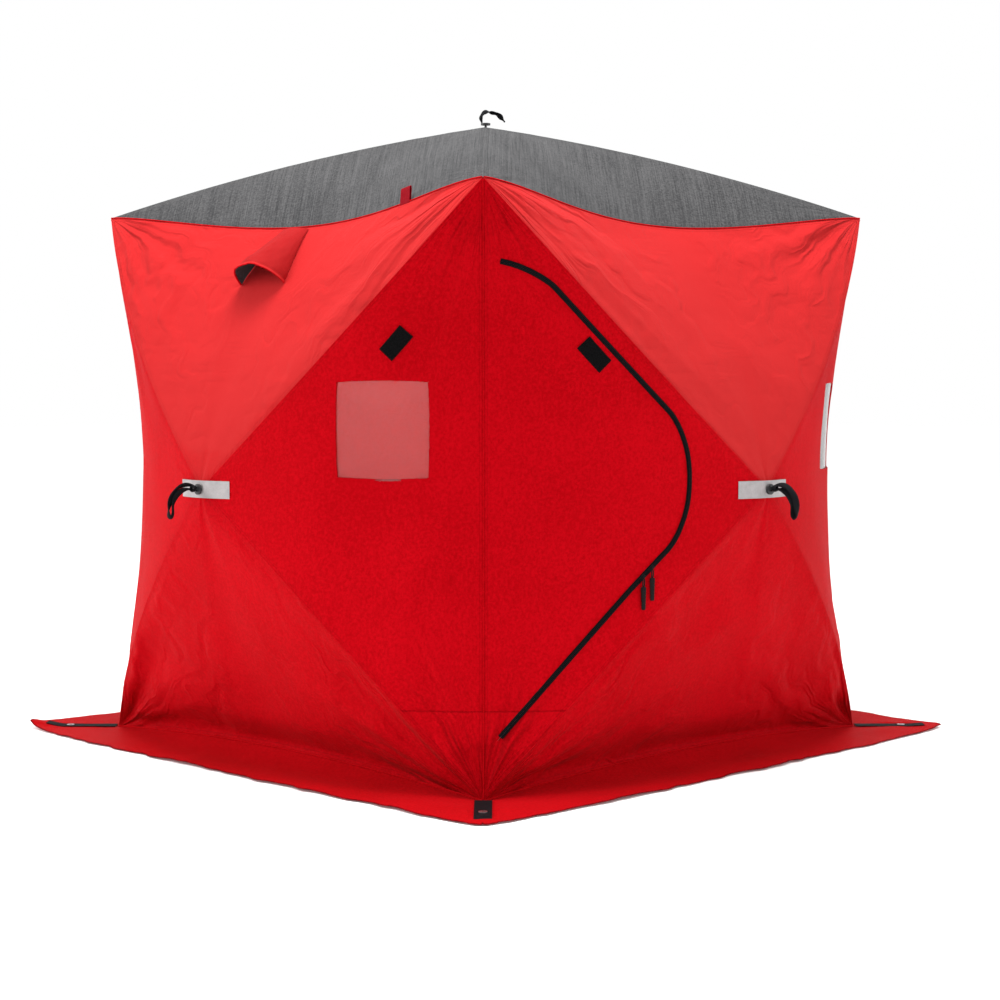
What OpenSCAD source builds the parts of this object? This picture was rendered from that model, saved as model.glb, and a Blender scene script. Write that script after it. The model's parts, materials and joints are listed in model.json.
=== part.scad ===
// Pop-up ice fishing hut: four hub-pushed fabric walls, a domed roof, a snow skirt and a zipped door.
// Millimetres, +Z up. Origin: centre of the footprint, on the ground. Walls face -Y, -X, +Y and +X.

/* [Shelter] */
// Distance between neighbouring wall seams at the ground
base_w = 1778; // [1400:1:2400]
// Distance between neighbouring roof corners
top_w = 1791; // [1400:1:2400]
// Height of the four roof corners
wall_h = 1734; // [1400:1:2200]
// Height of the roof hub
roof_h = 2040; // [1900:1:2700]
// Height of the wall hubs
hub_h = 857; // [700:1:1100]
// How far a wall hub stands out from the line between its base corners
hub_out = 305; // [200:1:420]
// Thickness of the insulated wall fabric
fabric_t = 5; // [3:0.5:8]

/* [Fabric shape] */
// How far the upright corner seams pull in at half height
seam_in = 120; // [60:1:160]
// How far the roof seams dip at mid-wall
roof_seam_dip = 75; // [30:1:110]
// How far the roof seams pull in at mid-wall
roof_seam_in = 120; // [60:1:160]
// How far the bottom seams lift at mid-wall
bottom_seam_lift = 40; // [0:1:70]
// How far the bottom seams stand out at mid-wall
bottom_seam_out = 15; // [0:1:40]

/* [Poles] */
// Diameter of a glass-fibre pole
pole_d = 11; // [8:0.5:14]
// Outward bow of a wall pole
pole_out_bow = 30; // [0:1:60]
// Sideways bow of a wall pole, towards the nearest corner seam
pole_side_bow = 40; // [0:1:70]
// Upward bow of a roof pole
roof_pole_bow = 30; // [0:1:80]
// Diameter of a hub body
hub_d = 84; // [60:1:110]
// Thickness of a hub body
hub_t = 26; // [16:1:40]

/* [Skirt and anchors] */
// Width of the snow skirt along a wall
skirt_w = 255; // [120:1:320]
// Width of the snow skirt at its corners
skirt_corner_w = 205; // [100:1:300]
// Thickness of the skirt fabric
skirt_t = 3; // [2:0.5:5]
// Length of a corner anchor strap
anchor_l = 235; // [150:1:300]
// Width of a corner anchor strap
anchor_w = 50; // [30:1:60]
// Distance of an anchor grommet from its base corner
anchor_eye_out = 165; // [90:1:220]
// Bore of an anchor grommet
eye_d = 13; // [8:0.5:20]

/* [Door] */
// Distance from the door zip to the pole ridge above it
door_top_margin = 85; // [60:1:160]
// Distance from the door zip to the pole ridge below it, at the rounded tip
door_low_margin = 145; // [100:1:220]
// How much closer the lower zip comes to that ridge at the hinge
door_low_taper = 22; // [0:1:60]
// Gap between the door panel and the doorway around it
door_gap = 5; // [4:0.5:10]
// Width of the zip tape
zip_w = 16; // [10:0.5:24]

/* [Windows and vents] */
// Height of the window sills
window_low = 902; // [860:1:960]
// Height of the window heads
window_high = 1173; // [1060:1:1200]
// Thickness of the clear window sheet
pane_t = 1; // [0.5:0.1:2]
// Width of a vent hood at its mouth
vent_w = 200; // [120:1:280]
// Height of a vent hood's arch
vent_rise = 90; // [50:1:120]

/* [Trim] */
// Length of a reflective hub strip
strip_l = 230; // [120:1:260]
// Width of a reflective hub strip
strip_w = 52; // [30:1:70]
// Width of the pull strap webbing
strap_w = 18; // [12:0.5:30]
// Width of a hook-and-loop patch
patch_w = 50; // [30:1:60]

/* [Hidden] */

RED = "firebrick";
GREY = "dimgray";
BLACK = [0.06, 0.06, 0.07];
SILVER = "silver";
CLEAR = [0.85, 0.75, 0.78, 0.5];

// Turn that brings the front wall's shapes onto each wall
FRONT = 0;
LEFT = -90;
BACK = 180;
RIGHT = 90;

// The five fabric gores that meet a wall's hub or its stretch of the roof seam
TOP = 0;
RIGHT_SIDE = 1;
BOTTOM = 2;
LEFT_SIDE = 3;
ROOF = 4;

half_base = base_w / 2;
half_top = top_w / 2;
base_z = skirt_t + 1;          // height of the walls' lowest corners
sew_gap = 0.3;                 // gap left between pieces that are sewn or glued face to face
fold_power = 2;                // how fast a gore takes on the curve of its seam
top_seam_power = 1.6;          // how flat a roof seam runs at mid-wall
inset_k = 1.08;                // how much further a hub moves in than the fabric is thick

// Stations from hub (0) to seam (1) and along the seams; windows and the door start and end on them
apex_s = 0.03;
door_tip_s = 0.288;
door_round_s = 0.368;
window_in_s = 0.495;
window_out_s = 0.81;
door_hinge_s = 0.955;
zip_end_s = 0.942;
door_corner_s = 0.76;
edge_s = 0.9998;
vent_mouth_s = 0.755;
vent_low_s = 0.82;
vent_high_s = 0.92;
vent_back_s = 0.985;
vent_t = 0.475;
S_ROWS = [apex_s, 0.16, door_tip_s, door_round_s, window_in_s, 0.65, window_out_s, door_hinge_s, edge_s];
S_PLAIN = [apex_s, 0.16, 0.33, 0.495, 0.65, 0.81, edge_s];
S_VENT = [apex_s, 0.16, door_tip_s, door_round_s, window_in_s, 0.65, vent_low_s, vent_high_s, edge_s];
T_ROWS = [0.0003, 0.12, 0.24, 0.36, 0.48, 0.58, 0.68, 0.76, 0.84, 0.92, 0.9997];
T_EVEN = [0.0003, 0.125, 0.25, 0.37, vent_t - 0.035, vent_t + 0.035, 0.6, 0.75, 0.875, 0.9997];
WINDOW_HOLE = [4, 6, 5, 7];            // first and last row of stations around a window
VENT_HOLE = [6, 7, 4, 5];              // and around a vent
NO_HOLE = [0, 0, 0, 0];

pole_r = pole_d / 2;
pole_in = fabric_t + 3.6 + pole_r;       // depth of a pole's centre line below the outer fabric
pole_start_s = 0.06;
pole_end_s = 0.955;
sleeve_r = pole_r + 3;
hub_depth = 24;                        // depth of a hub's outer face below the fabric's peak
bolt_r = 4;
cap_r = 16;
cap_t = 6;

// ---------- small helpers ----------
function unit(v) = v / norm(v);
function mix(a, b, t) = a + (b - a) * t;
function bow(t) = 4 * t * (1 - t);
function turned(p, a) = [p.x * cos(a) - p.y * sin(a), p.x * sin(a) + p.y * cos(a), p.z];
function flat_list(rows) = [for (row = rows) for (p = row) p];

// ---------- the fabric surface; depth d is measured inwards from the outer face ----------
function top_corner(side, d) = [side * (half_top - d), -(half_top - d), wall_h - d];
function base_corner(side, d) = [side * (half_base - d), -(half_base - d), base_z];
function wall_peak(d) = [0, -(half_base + hub_out - d * inset_k), hub_h];
function roof_peak(d) = [0, 0, roof_h - d * inset_k];
function corner_1(g, d) = g == TOP || g == ROOF ? top_corner(-1, d)
    : g == RIGHT_SIDE ? base_corner(1, d) : base_corner(-1, d);
function corner_2(g, d) = g == BOTTOM ? base_corner(1, d)
    : g == LEFT_SIDE ? top_corner(-1, d) : top_corner(1, d);
function side_1(g) = g == RIGHT_SIDE ? 1 : -1;
function side_2(g) = g == LEFT_SIDE ? -1 : 1;
function seam_sag(g, t) =
    g == TOP || g == ROOF ? pow(bow(t), top_seam_power) * [0, roof_seam_in, -roof_seam_dip]
    : g == BOTTOM ? bow(t) * [0, -bottom_seam_out, bottom_seam_lift]
    : seam_in * bow(t) * [-side_1(g), 1, 0] / sqrt(2);
function ridge(g, corner, side, s, d) = g == ROOF
    ? mix(roof_peak(d), corner, s) + bow(s) * [0, 0, roof_pole_bow]
    : mix(wall_peak(d), corner, s) + bow(s) * [side * pole_side_bow, -pole_out_bow, 0];
function skin(g, s, t, d) = mix(ridge(g, corner_1(g, d), side_1(g), s, d),
    ridge(g, corner_2(g, d), side_2(g), s, d), t) + pow(s, fold_power) * seam_sag(g, t);
function facing(g) = g == TOP || g == LEFT_SIDE ? -1 : 1;
function skin_normal(g, s, t) = facing(g) * unit(cross(skin(g, s + 0.01, t, 0) - skin(g, s - 0.01, t, 0),
    skin(g, s, t + 0.01, 0) - skin(g, s, t - 0.01, 0)));

// Station along the seam, at station s, that has the height z on a side gore
function t_at_height(s, z) = ((z - hub_h) / s + hub_h - base_z) / (wall_h - base_z);
function window_t(s, t) =
    let (low = t_at_height(s, window_low), high = t_at_height(s, window_high),
        from = T_ROWS[WINDOW_HOLE[2]], to = T_ROWS[WINDOW_HOLE[3]])
    s < door_round_s || s > door_hinge_s - 0.01 ? t
    : t < from ? t / from * low
    : t <= to ? mix(low, high, (t - from) / (to - from))
    : mix(high, 1, (t - to) / (1 - to));

// Door outline: the stations of its upper and lower edge
round_power = 2.4;             // how square the rounded tip is; 2 is an ellipse
corner_drop = 0.468;           // how fast the upper edge turns down past door_corner_s
corner_power = 1.25;
function door_round(s) = s >= door_round_s ? 1
    : pow(max(0, 1 - pow((door_round_s - s) / (door_round_s - door_tip_s), round_power)), 1 / round_power);
function door_high_raw(s) = 1 - door_top_margin / (wall_h * s)
    - corner_drop * pow(max(0, s - door_corner_s), corner_power);
function door_low_raw(s) = (door_low_margin - door_low_taper
    * max(0, s - window_in_s) / (door_hinge_s - window_in_s)) / (wall_h * s);
function door_mid(s) = (door_high_raw(s) + door_low_raw(s)) / 2;
gap_s = door_gap / 2 / (half_base + pole_side_bow);
hinge_relief = 20;             // how far the panel's corners are cut back at the hinge, to clear it as it turns
relief_s = 0.85;               // where that cut starts
function gap_t(s) = door_gap / 2 / (wall_h * s);
// way 1 is the upper edge and -1 the lower one; out 1 is the doorway's, -1 the panel's and 0 the zip's line
function door_edge(s, way, out) = door_mid(s) + way * max(0.0005,
    (door_high_raw(s) - door_low_raw(s)) / 2 * door_round(s + out * gap_s) + out * gap_t(s)
    - (out < 0 ? hinge_relief * max(0, s - relief_s) / (door_hinge_s - relief_s) / (wall_h * s) : 0));

// Stations of the door and the doorway: around the rounded tip, and from there to the hinge
ROUND_S = [for (k = [0:5]) mix(door_tip_s - gap_s, door_round_s - 0.0002, k / 5)];
LONG_S = [door_round_s, 0.43, window_in_s, 0.57, 0.65, 0.73, window_out_s, 0.85, 0.89, zip_end_s, door_hinge_s];

// ---------- closed shells ----------
// A sheet between two grids of points, with an optional block of cells left out as a window
module slab(outer, inner, flip = false, hole = NO_HOLE) {
    n = len(outer);
    m = len(outer[0]);
    function id(i, j, k) = k * n * m + i * m + j;
    function solid_cell(i, j) = i >= 0 && j >= 0 && i < n - 1 && j < m - 1
        && !(i >= hole[0] && i < hole[1] && j >= hole[2] && j < hole[3]);
    function tri(a, b, c) = flip ? [c, b, a] : [a, b, c];
    function quad(a, b, c, d) = [tri(a, b, c), tri(a, c, d)];
    function rim(i0, j0, i1, j1) = quad(id(i1, j1, 0), id(i0, j0, 0), id(i0, j0, 1), id(i1, j1, 1));
    faces = [for (i = [0:n - 2]) for (j = [0:m - 2]) if (solid_cell(i, j)) each concat(
        quad(id(i, j, 0), id(i, j + 1, 0), id(i + 1, j + 1, 0), id(i + 1, j, 0)),
        quad(id(i + 1, j, 1), id(i + 1, j + 1, 1), id(i, j + 1, 1), id(i, j, 1)),
        solid_cell(i - 1, j) ? [] : rim(i, j, i, j + 1),
        solid_cell(i, j + 1) ? [] : rim(i, j + 1, i + 1, j + 1),
        solid_cell(i + 1, j) ? [] : rim(i + 1, j + 1, i + 1, j),
        solid_cell(i, j - 1) ? [] : rim(i + 1, j, i, j))];
    polyhedron(concat(flat_list(outer), flat_list(inner)), faces, 10);
}

// A piece of gore g between depths d0 and d1; cells is a grid of [s, t] stations
module cloth(g, cells, d0, d1, hole = NO_HOLE) {
    slab([for (row = cells) [for (c = row) skin(g, c[0], c[1], d0)]],
        [for (row = cells) [for (c = row) skin(g, c[0], c[1], d1)]], facing(g) < 0, hole);
}

// Grid of stations: each s in the list, with rows running from low(s) to high(s)
function even_rows(low, high, n) = [for (k = [0:n]) mix(low, high, k / n)];

// A flat band that follows points on the fabric, from w0 to w1 across it and h0 to h1 above it
module band(points, normals, w0, w1, h0, h1) {
    n = len(points);
    function along(i) = unit(points[min(i + 1, n - 1)] - points[max(i - 1, 0)]);
    function across(i) = unit(cross(normals[i], along(i)));
    function at(i, w, h) = points[i] + w * across(i) + h * normals[i];
    slab([for (i = [0:n - 1]) [at(i, w0, h1), at(i, w1, h1)]],
        [for (i = [0:n - 1]) [at(i, w0, h0), at(i, w1, h0)]]);
}

// A round rod swept along points
module tube(points, r, sides = 8) {
    n = len(points);
    function along(i) = unit(points[min(i + 1, n - 1)] - points[max(i - 1, 0)]);
    function side_of(i) = unit(cross(along(i), abs(along(i).z) > 0.9 ? [1, 0, 0] : [0, 0, 1]));
    function ring(i) = let (u = side_of(i), v = cross(u, along(i)))
        [for (k = [0:sides - 1]) points[i] + r * (cos(360 * k / sides) * u + sin(360 * k / sides) * v)];
    faces = concat([[for (k = [0:sides - 1]) k]],
        [for (i = [0:n - 2]) for (k = [0:sides - 1]) let (a = i * sides + k, b = i * sides + (k + 1) % sides)
            each [[a, a + sides, b + sides], [a, b + sides, b]]],
        [[for (k = [sides - 1:-1:0]) (n - 1) * sides + k]]);
    polyhedron(flat_list([for (i = [0:n - 1]) ring(i)]), faces, 10);
}

// A cylinder from one point to another
module rod(a, b, r) {
    d = b - a;
    translate(a) rotate([0, acos(d.z / norm(d)), atan2(d.y, d.x)]) cylinder(h = norm(d), r = r, $fn = 32);
}

// ---------- walls and roof ----------
module plain_gore(g, rows) {
    cloth(g, [for (s = S_ROWS) [for (t = rows) [s, t]]], 0, fabric_t);
}

module window_gore(g) {
    cloth(g, [for (s = S_ROWS) [for (t = T_ROWS) [s, window_t(s, t)]]], 0, fabric_t,
        WINDOW_HOLE);
}

module vent_gore(g) {
    cloth(g, [for (s = S_VENT) [for (t = T_EVEN) [s, t]]], 0, fabric_t, VENT_HOLE);
}

module vented_wall() {
    color(RED) {
        vent_gore(TOP);
        plain_gore(BOTTOM, T_EVEN);
        window_gore(RIGHT_SIDE);
        plain_gore(LEFT_SIDE, T_ROWS);
    }
}

module front_wall() {
    color(RED) {
        plain_gore(TOP, T_EVEN);
        plain_gore(BOTTOM, T_EVEN);
        window_gore(RIGHT_SIDE);
    }
}

// The near gore of the front wall, in pieces around the doorway
module front_wall_doorway() {
    color(RED) {
        cloth(LEFT_SIDE, [for (s = [apex_s, 0.16, door_tip_s - gap_s - 0.0002]) [for (t = T_ROWS) [s, t]]],
            0, fabric_t);
        for (rows = [ROUND_S, LONG_S]) {
            cloth(LEFT_SIDE, [for (s = rows) [for (t = even_rows(door_edge(s, 1, 1), 0.9997, 2)) [s, t]]],
                0, fabric_t);
            cloth(LEFT_SIDE, [for (s = rows) [for (t = even_rows(0.0003, door_edge(s, -1, 1), 2)) [s, t]]],
                0, fabric_t);
        }
        cloth(LEFT_SIDE, [for (s = [door_hinge_s + gap_s, edge_s]) [for (t = T_ROWS) [s, t]]], 0, fabric_t);
    }
}

module left_wall() rotate([0, 0, LEFT]) vented_wall();
module right_wall() rotate([0, 0, RIGHT]) vented_wall();
module back_wall() rotate([0, 0, BACK]) {
    front_wall();
    color(RED) plain_gore(LEFT_SIDE, T_ROWS);
}

module roof() {
    color(GREY) for (a = [FRONT, LEFT, BACK, RIGHT]) rotate([0, 0, a])
        cloth(ROOF, [for (s = S_PLAIN) [for (t = T_EVEN) [s, t]]], 0, fabric_t);
}

// ---------- snow skirt ----------
SKIRT_K = [0, 0.4, 0.8, 1];    // stations across the skirt; it lies flat on the ground past the third
SKIRT_ROWS = [0.0005, 0.03, 0.1, 0.2, 0.3, 0.4, 0.5, 0.6, 0.7, 0.8, 0.9, 0.97, 0.9995];
corner_blunt = 0.3;            // how quickly the skirt narrows to its corners; smaller is quicker
function skirt_width(t) = mix(skirt_corner_w, skirt_w, pow(bow(t), corner_blunt));
function skirt_inner(t) = skin(BOTTOM, 1, t, 0) - [0, 0.5, 0.5];
function skirt_point(t, k) = let (inner = skirt_inner(t), w = skirt_width(t))
    [inner.x * (1 + k * w / half_base), mix(inner.y, -(half_base + w), k),
    mix(inner.z, skirt_t, min(1, k / SKIRT_K[2]))];
module skirt() {
    cells = [for (t = SKIRT_ROWS) [for (k = SKIRT_K) skirt_point(t, k)]];
    color(RED) difference() {
        slab(cells, [for (row = cells) [for (p = row) p - [0, 0, skirt_t]]]);
        for (side = [-1, 1]) translate([side, -1, 0] * (half_base + anchor_eye_out / sqrt(2)) - [0, 0, 5])
            cylinder(h = 40, r = eye_d / 2 + 3, $fn = 48);
    }
}
module skirt_front() rotate([0, 0, FRONT]) skirt();
module skirt_left() rotate([0, 0, LEFT]) skirt();
module skirt_back() rotate([0, 0, BACK]) skirt();
module skirt_right() rotate([0, 0, RIGHT]) skirt();

// ---------- poles, hubs and corner sockets ----------
function wall_pole(top, side, s) = ridge(top ? TOP : BOTTOM,
    top ? top_corner(side, pole_in) : base_corner(side, pole_in) + [0, 0, sleeve_r], side, s, pole_in);
function roof_pole(s) = ridge(ROOF, top_corner(-1, pole_in), -1, s, pole_in);

function wall_pole_start(top, side) =
    pole_end(wall_pole(top, side, pole_start_s), wall_pole(top, side, pole_start_s + 0.02));
function wall_pole_tip(top, side) =
    pole_end(wall_pole(top, side, pole_end_s), wall_pole(top, side, pole_end_s - 0.02));
function roof_pole_start() = pole_end(roof_pole(pole_start_s), roof_pole(pole_start_s + 0.02));
function roof_pole_tip() = pole_end(roof_pole(pole_end_s), roof_pole(pole_end_s - 0.02));

module wall_poles() {
    color(BLACK) for (top = [true, false]) for (side = [-1, 1])
        tube([for (s = even_rows(pole_start_s, pole_end_s, 8)) wall_pole(top, side, s)], pole_r);
}
module front_poles() rotate([0, 0, FRONT]) wall_poles();
module left_poles() rotate([0, 0, LEFT]) wall_poles();
module back_poles() rotate([0, 0, BACK]) wall_poles();
module right_poles() rotate([0, 0, RIGHT]) wall_poles();
module roof_poles() {
    color(BLACK) for (a = [FRONT, LEFT, BACK, RIGHT]) rotate([0, 0, a])
        tube([for (s = even_rows(pole_start_s, pole_end_s, 8)) roof_pole(s)], pole_r);
}

// A sleeve from a hub or socket to a pole's end; p is the end and the direction in which the pole runs on
function pole_end(p, q) = [p, unit(q - p)];
module sleeve(heart, p) {
    rod(heart, p[0] - p[1] * 14, sleeve_r - 2.5);
    rod(p[0] - p[1] * 22, p[0] - p[1] * sew_gap, sleeve_r);
}

// A hub body inside the fabric, its four pole sleeves, and the bolt and cap that come through the fabric
module hub(peak, out, starts) {
    body = peak - out * hub_depth;
    heart = body - out * hub_t / 2;
    color(BLACK) {
        rod(body - out * hub_t, body, hub_d / 2);
        for (p = starts) sleeve(heart, p);
        rod(body - out * 5, peak + out * (sew_gap + 6 + cap_t), bolt_r);
        rod(peak + out * (sew_gap + 6), peak + out * (sew_gap + 6 + cap_t), cap_r);
    }
}
module wall_hub() {
    hub(wall_peak(0), [0, -1, 0],
        [for (top = [true, false]) for (side = [-1, 1]) wall_pole_start(top, side)]);
}
module front_hub() rotate([0, 0, FRONT]) wall_hub();
module left_hub() rotate([0, 0, LEFT]) wall_hub();
module back_hub() rotate([0, 0, BACK]) wall_hub();
module right_hub() rotate([0, 0, RIGHT]) wall_hub();
module roof_hub() {
    hub(roof_peak(0), [0, 0, 1],
        [for (a = [FRONT, LEFT, BACK, RIGHT]) [for (v = roof_pole_start()) turned(v, a)]]);
}

// A corner socket: a knuckle with a short sleeve for each pole that ends there
module socket(heart, ends) {
    color(BLACK) {
        translate(heart) sphere(r = sleeve_r + 3, $fn = 40);
        for (p = ends) sleeve(heart, p);
    }
}
module top_corner_sockets() {
    heart = top_corner(-1, pole_in + 8);
    neighbour = [for (v = wall_pole_tip(true, 1)) turned(v, LEFT)];
    for (a = [FRONT, LEFT, BACK, RIGHT]) rotate([0, 0, a])
        socket(heart, [wall_pole_tip(true, -1), neighbour, roof_pole_tip()]);
}
module bottom_corner_sockets() {
    heart = base_corner(-1, pole_in + 8) + [0, 0, sleeve_r + 4];
    neighbour = [for (v = wall_pole_tip(false, 1)) turned(v, LEFT)];
    for (a = [FRONT, LEFT, BACK, RIGHT]) rotate([0, 0, a]) {
        socket(heart, [wall_pole_tip(false, -1), neighbour]);
        color(BLACK) translate([heart.x, heart.y, 0]) cylinder(h = heart.z, r = sleeve_r + 1, $fn = 40);
    }
}

// ---------- trim on the hubs ----------
// A folded strip across a wall hub, with a hole for the bolt
module reflective_strip() {
    y0 = wall_peak(0).y - sew_gap;
    t = 1.5;
    function back(x) = let (s = abs(x) / half_base)
        y0 - 1 + max(0, s * hub_out - pole_out_bow * bow(s) - 4);
    xs = even_rows(-strip_l / 2, strip_l / 2, 8);
    outline = concat([for (x = xs) [x, back(x)]], [for (k = [len(xs) - 1:-1:0]) [xs[k], back(xs[k]) - t]]);
    color(SILVER) difference() {
        translate([0, 0, hub_h - strip_w / 2]) linear_extrude(strip_w) polygon(outline);
        translate([0, y0 + 20, hub_h]) rotate([90, 0, 0]) cylinder(h = 60, r = bolt_r + sew_gap, $fn = 32);
    }
}
module hub_reflective_strips() {
    for (a = [FRONT, LEFT, BACK, RIGHT]) rotate([0, 0, a]) reflective_strip();
}

// A hanging loop of webbing, sewn closed at the cap
module pull_strap() {
    start = wall_peak(0).y - sew_gap - 6 - cap_t - sew_gap;
    pts = [[0, 6], [26, 16], [52, 8], [78, -20], [92, -58], [88, -92], [72, -104], [60, -88], [58, -58],
        [50, -30], [28, -8], [0, -8]];
    color(BLACK) translate([-strap_w / 2, start, hub_h]) rotate([90, 0, 90]) linear_extrude(strap_w)
        difference() {
            offset(r = 1.3, $fn = 16) polygon([for (p = pts) [-p[0] - 1.3, p[1]]]);
            offset(r = -1.3, $fn = 16) polygon([for (p = pts) [-p[0] - 1.3, p[1]]]);
        }
}
module front_pull_strap() rotate([0, 0, FRONT]) pull_strap();
module left_pull_strap() rotate([0, 0, LEFT]) pull_strap();
module back_pull_strap() rotate([0, 0, BACK]) pull_strap();
module right_pull_strap() rotate([0, 0, RIGHT]) pull_strap();

// A low bow of webbing over the roof cap
module roof_pull_strap() {
    z0 = roof_peak(0).z + 2 * sew_gap + 6 + cap_t;
    pts = [[-14, 0], [-16, 24], [6, 42], [40, 34], [66, 6], [64, 3], [38, 30], [8, 38], [-12, 22], [-10, 0]];
    color(BLACK) rotate([90, 0, -45]) translate([0, z0, -strap_w / 2]) linear_extrude(strap_w) polygon(pts);
}

// ---------- windows and vents ----------
// Stations of a sheet behind a window that overlaps the fabric by `lap` on every side
function window_cells(lap) = let (ds = lap / half_base, zs = [window_low - lap, (window_low + window_high) / 2,
    window_high + lap]) [for (s = [window_in_s - ds, 0.65, window_out_s + ds]) [for (z = zs) [s, t_at_height(s, z)]]];
pane_d = fabric_t + sew_gap + 0.5;
cover_d = pane_d + pane_t + sew_gap;
module window_pane() color(CLEAR) cloth(RIGHT_SIDE, window_cells(10), pane_d, pane_d + pane_t);
module window_cover() color(RED) cloth(RIGHT_SIDE, window_cells(10), cover_d, cover_d + 2);
module front_window() rotate([0, 0, FRONT]) window_pane();
module left_window() rotate([0, 0, LEFT]) window_pane();
module back_window() rotate([0, 0, BACK]) window_pane();
module right_window() rotate([0, 0, RIGHT]) window_pane();
module front_window_cover() rotate([0, 0, FRONT]) window_cover();
module left_window_cover() rotate([0, 0, LEFT]) window_cover();
module back_window_cover() rotate([0, 0, BACK]) window_cover();
module right_window_cover() rotate([0, 0, RIGHT]) window_cover();

// A tent-shaped hood over the vent: arched mouth towards the hub, low back at the roof seam
module vent_hood() {
    t = 2;
    n = skin_normal(TOP, vent_mouth_s, vent_t);
    function arch(k, r, inset) = let (s = mix(vent_mouth_s, vent_back_s, k),
        w = mix(vent_w, vent_w * 0.6, k) / 2 - inset, rise = mix(vent_rise, 14, k) - inset)
        skin(TOP, s, vent_t + cos(r) * w / (top_w * s), 0) + n * (sew_gap + 1.6 + sin(r) * rise);
    arcs = even_rows(0, 180, 12);
    color(RED) slab([for (k = [0, 0.33, 0.67, 1]) [for (r = arcs) arch(k, r, 0)]],
        [for (k = [0, 0.33, 0.67, 1]) [for (r = arcs) arch(k, r, t)]]);
}
module left_vent_hood() rotate([0, 0, LEFT]) vent_hood();
module right_vent_hood() rotate([0, 0, RIGHT]) vent_hood();

// ---------- webbing, patches and anchors ----------
module band_on(g, stations, w0, w1, h0, h1) {
    band([for (c = stations) skin(g, c[0], c[1], 0)], [for (c = stations) skin_normal(g, c[0], c[1])],
        w0, w1, h0, h1);
}
module seam_tabs() {
    color(RED) for (a = [LEFT, RIGHT]) rotate([0, 0, a])
        band_on(ROOF, [for (s = [0.95, 0.97, 0.99]) [s, 0.79]], -17, 17, sew_gap + 1, sew_gap + 3);
}
module wall_hook_patch() {
    color(BLACK) rotate([0, 0, LEFT])
        band_on(RIGHT_SIDE, [[0.739, 0.8525], [0.667, 0.833]], -patch_w / 2, patch_w / 2, 0.9, 2.9);
}
module door_hook_patch() {
    color(BLACK)
        band_on(LEFT_SIDE, [[0.66, 0.868], [0.585, 0.849]], -patch_w / 2, patch_w / 2, 2, 4);
}

anchor_turns = [45, 135, 225, 315];
anchor_z = base_z + 3.5;       // underside of an anchor strap, clear of the skirt's rise beside it
module anchor_straps() {
    corner = half_base * sqrt(2);
    color(BLACK) for (a = anchor_turns) rotate([0, 0, a]) difference() {
        translate([corner + 12, -anchor_w / 2, anchor_z]) cube([anchor_l, anchor_w, 2]);
        translate([corner + anchor_eye_out, 0, 0]) cylinder(h = 20, r = eye_d / 2 + 2 + sew_gap / 2, $fn = 48);
    }
}
module anchor_grommets() {
    corner = half_base * sqrt(2);
    color(SILVER) for (a = anchor_turns) rotate([0, 0, a]) translate([corner + anchor_eye_out, 0, 0])
        difference() {
            union() {
                translate([0, 0, 1]) cylinder(h = anchor_z + 2, r = eye_d / 2 + 2, $fn = 48);
                translate([0, 0, anchor_z + 2 + sew_gap]) cylinder(h = 1.7, r = eye_d / 2 + 6, $fn = 48);
            }
            translate([0, 0, -1]) cylinder(h = 30, r = eye_d / 2, $fn = 64);
        }
}

// ---------- door ----------
panel_s = concat([door_tip_s + gap_s], [for (s = concat(ROUND_S, LONG_S))
    if (s > door_tip_s + 2 * gap_s && s < door_hinge_s && s != door_round_s) s], [door_hinge_s - gap_s]);
module door_panel() {
    color(RED) cloth(LEFT_SIDE,
        [for (s = panel_s) [for (t = even_rows(door_edge(s, -1, -1), door_edge(s, 1, -1), 6)) [s, t]]],
        0, fabric_t);
}

zip_s = concat([zip_end_s, 0.89, 0.85, window_out_s, 0.73, 0.65, 0.57, window_in_s, 0.43],
    even_rows(door_round_s, door_tip_s + 0.012, 4), [door_tip_s + 0.004, door_tip_s + 0.0005]);
zip_line = concat([for (s = zip_s) [s, door_edge(s, 1, 0)]],
    [for (k = [len(zip_s) - 1:-1:0]) [zip_s[k], door_edge(zip_s[k], -1, 0)]]);
zip_low = sew_gap + 1.1;
zip_split = 0.4;              // half the gap between the two halves of the zip
module doorway_zip() color(BLACK) band_on(LEFT_SIDE, zip_line, zip_split, zip_w / 2, zip_low, zip_low + 2);
module door_zip() color(BLACK) band_on(LEFT_SIDE, zip_line, -zip_w / 2, -zip_split, zip_low, zip_low + 2);

slider_s = [0.425, 0.455];
slider_lift = 6.1;
slider_turn = -18.9;           // the sliders face out of the fabric there
module zip_sliders() {
    color(BLACK) for (s = slider_s) {
        t = door_edge(s, -1, 0);
        p = skin(LEFT_SIDE, s, t, 0) + skin_normal(LEFT_SIDE, s, t) * slider_lift;
        translate(p) rotate([0, 0, slider_turn]) {
            translate([-6, -5.5, -10]) cube([12, 7.2, 20]);
            translate([-5.5, -6.5, -100]) cube([11, 3, 91]);
        }
    }
}

front_wall();
front_wall_doorway();
left_wall();
back_wall();
right_wall();
roof();
skirt_front();
skirt_left();
skirt_back();
skirt_right();
front_poles();
left_poles();
back_poles();
right_poles();
roof_poles();
front_hub();
left_hub();
back_hub();
right_hub();
roof_hub();
top_corner_sockets();
bottom_corner_sockets();
hub_reflective_strips();
front_pull_strap();
left_pull_strap();
back_pull_strap();
right_pull_strap();
roof_pull_strap();
front_window();
left_window();
back_window();
right_window();
front_window_cover();
left_window_cover();
back_window_cover();
right_window_cover();
left_vent_hood();
right_vent_hood();
seam_tabs();
anchor_straps();
anchor_grommets();
wall_hook_patch();
doorway_zip();
door_panel();
door_zip();
zip_sliders();
door_hook_patch();
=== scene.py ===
"""Looks of the pop-up ice fishing hut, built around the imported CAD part. Metres, +Z up."""

import json
import math

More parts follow.
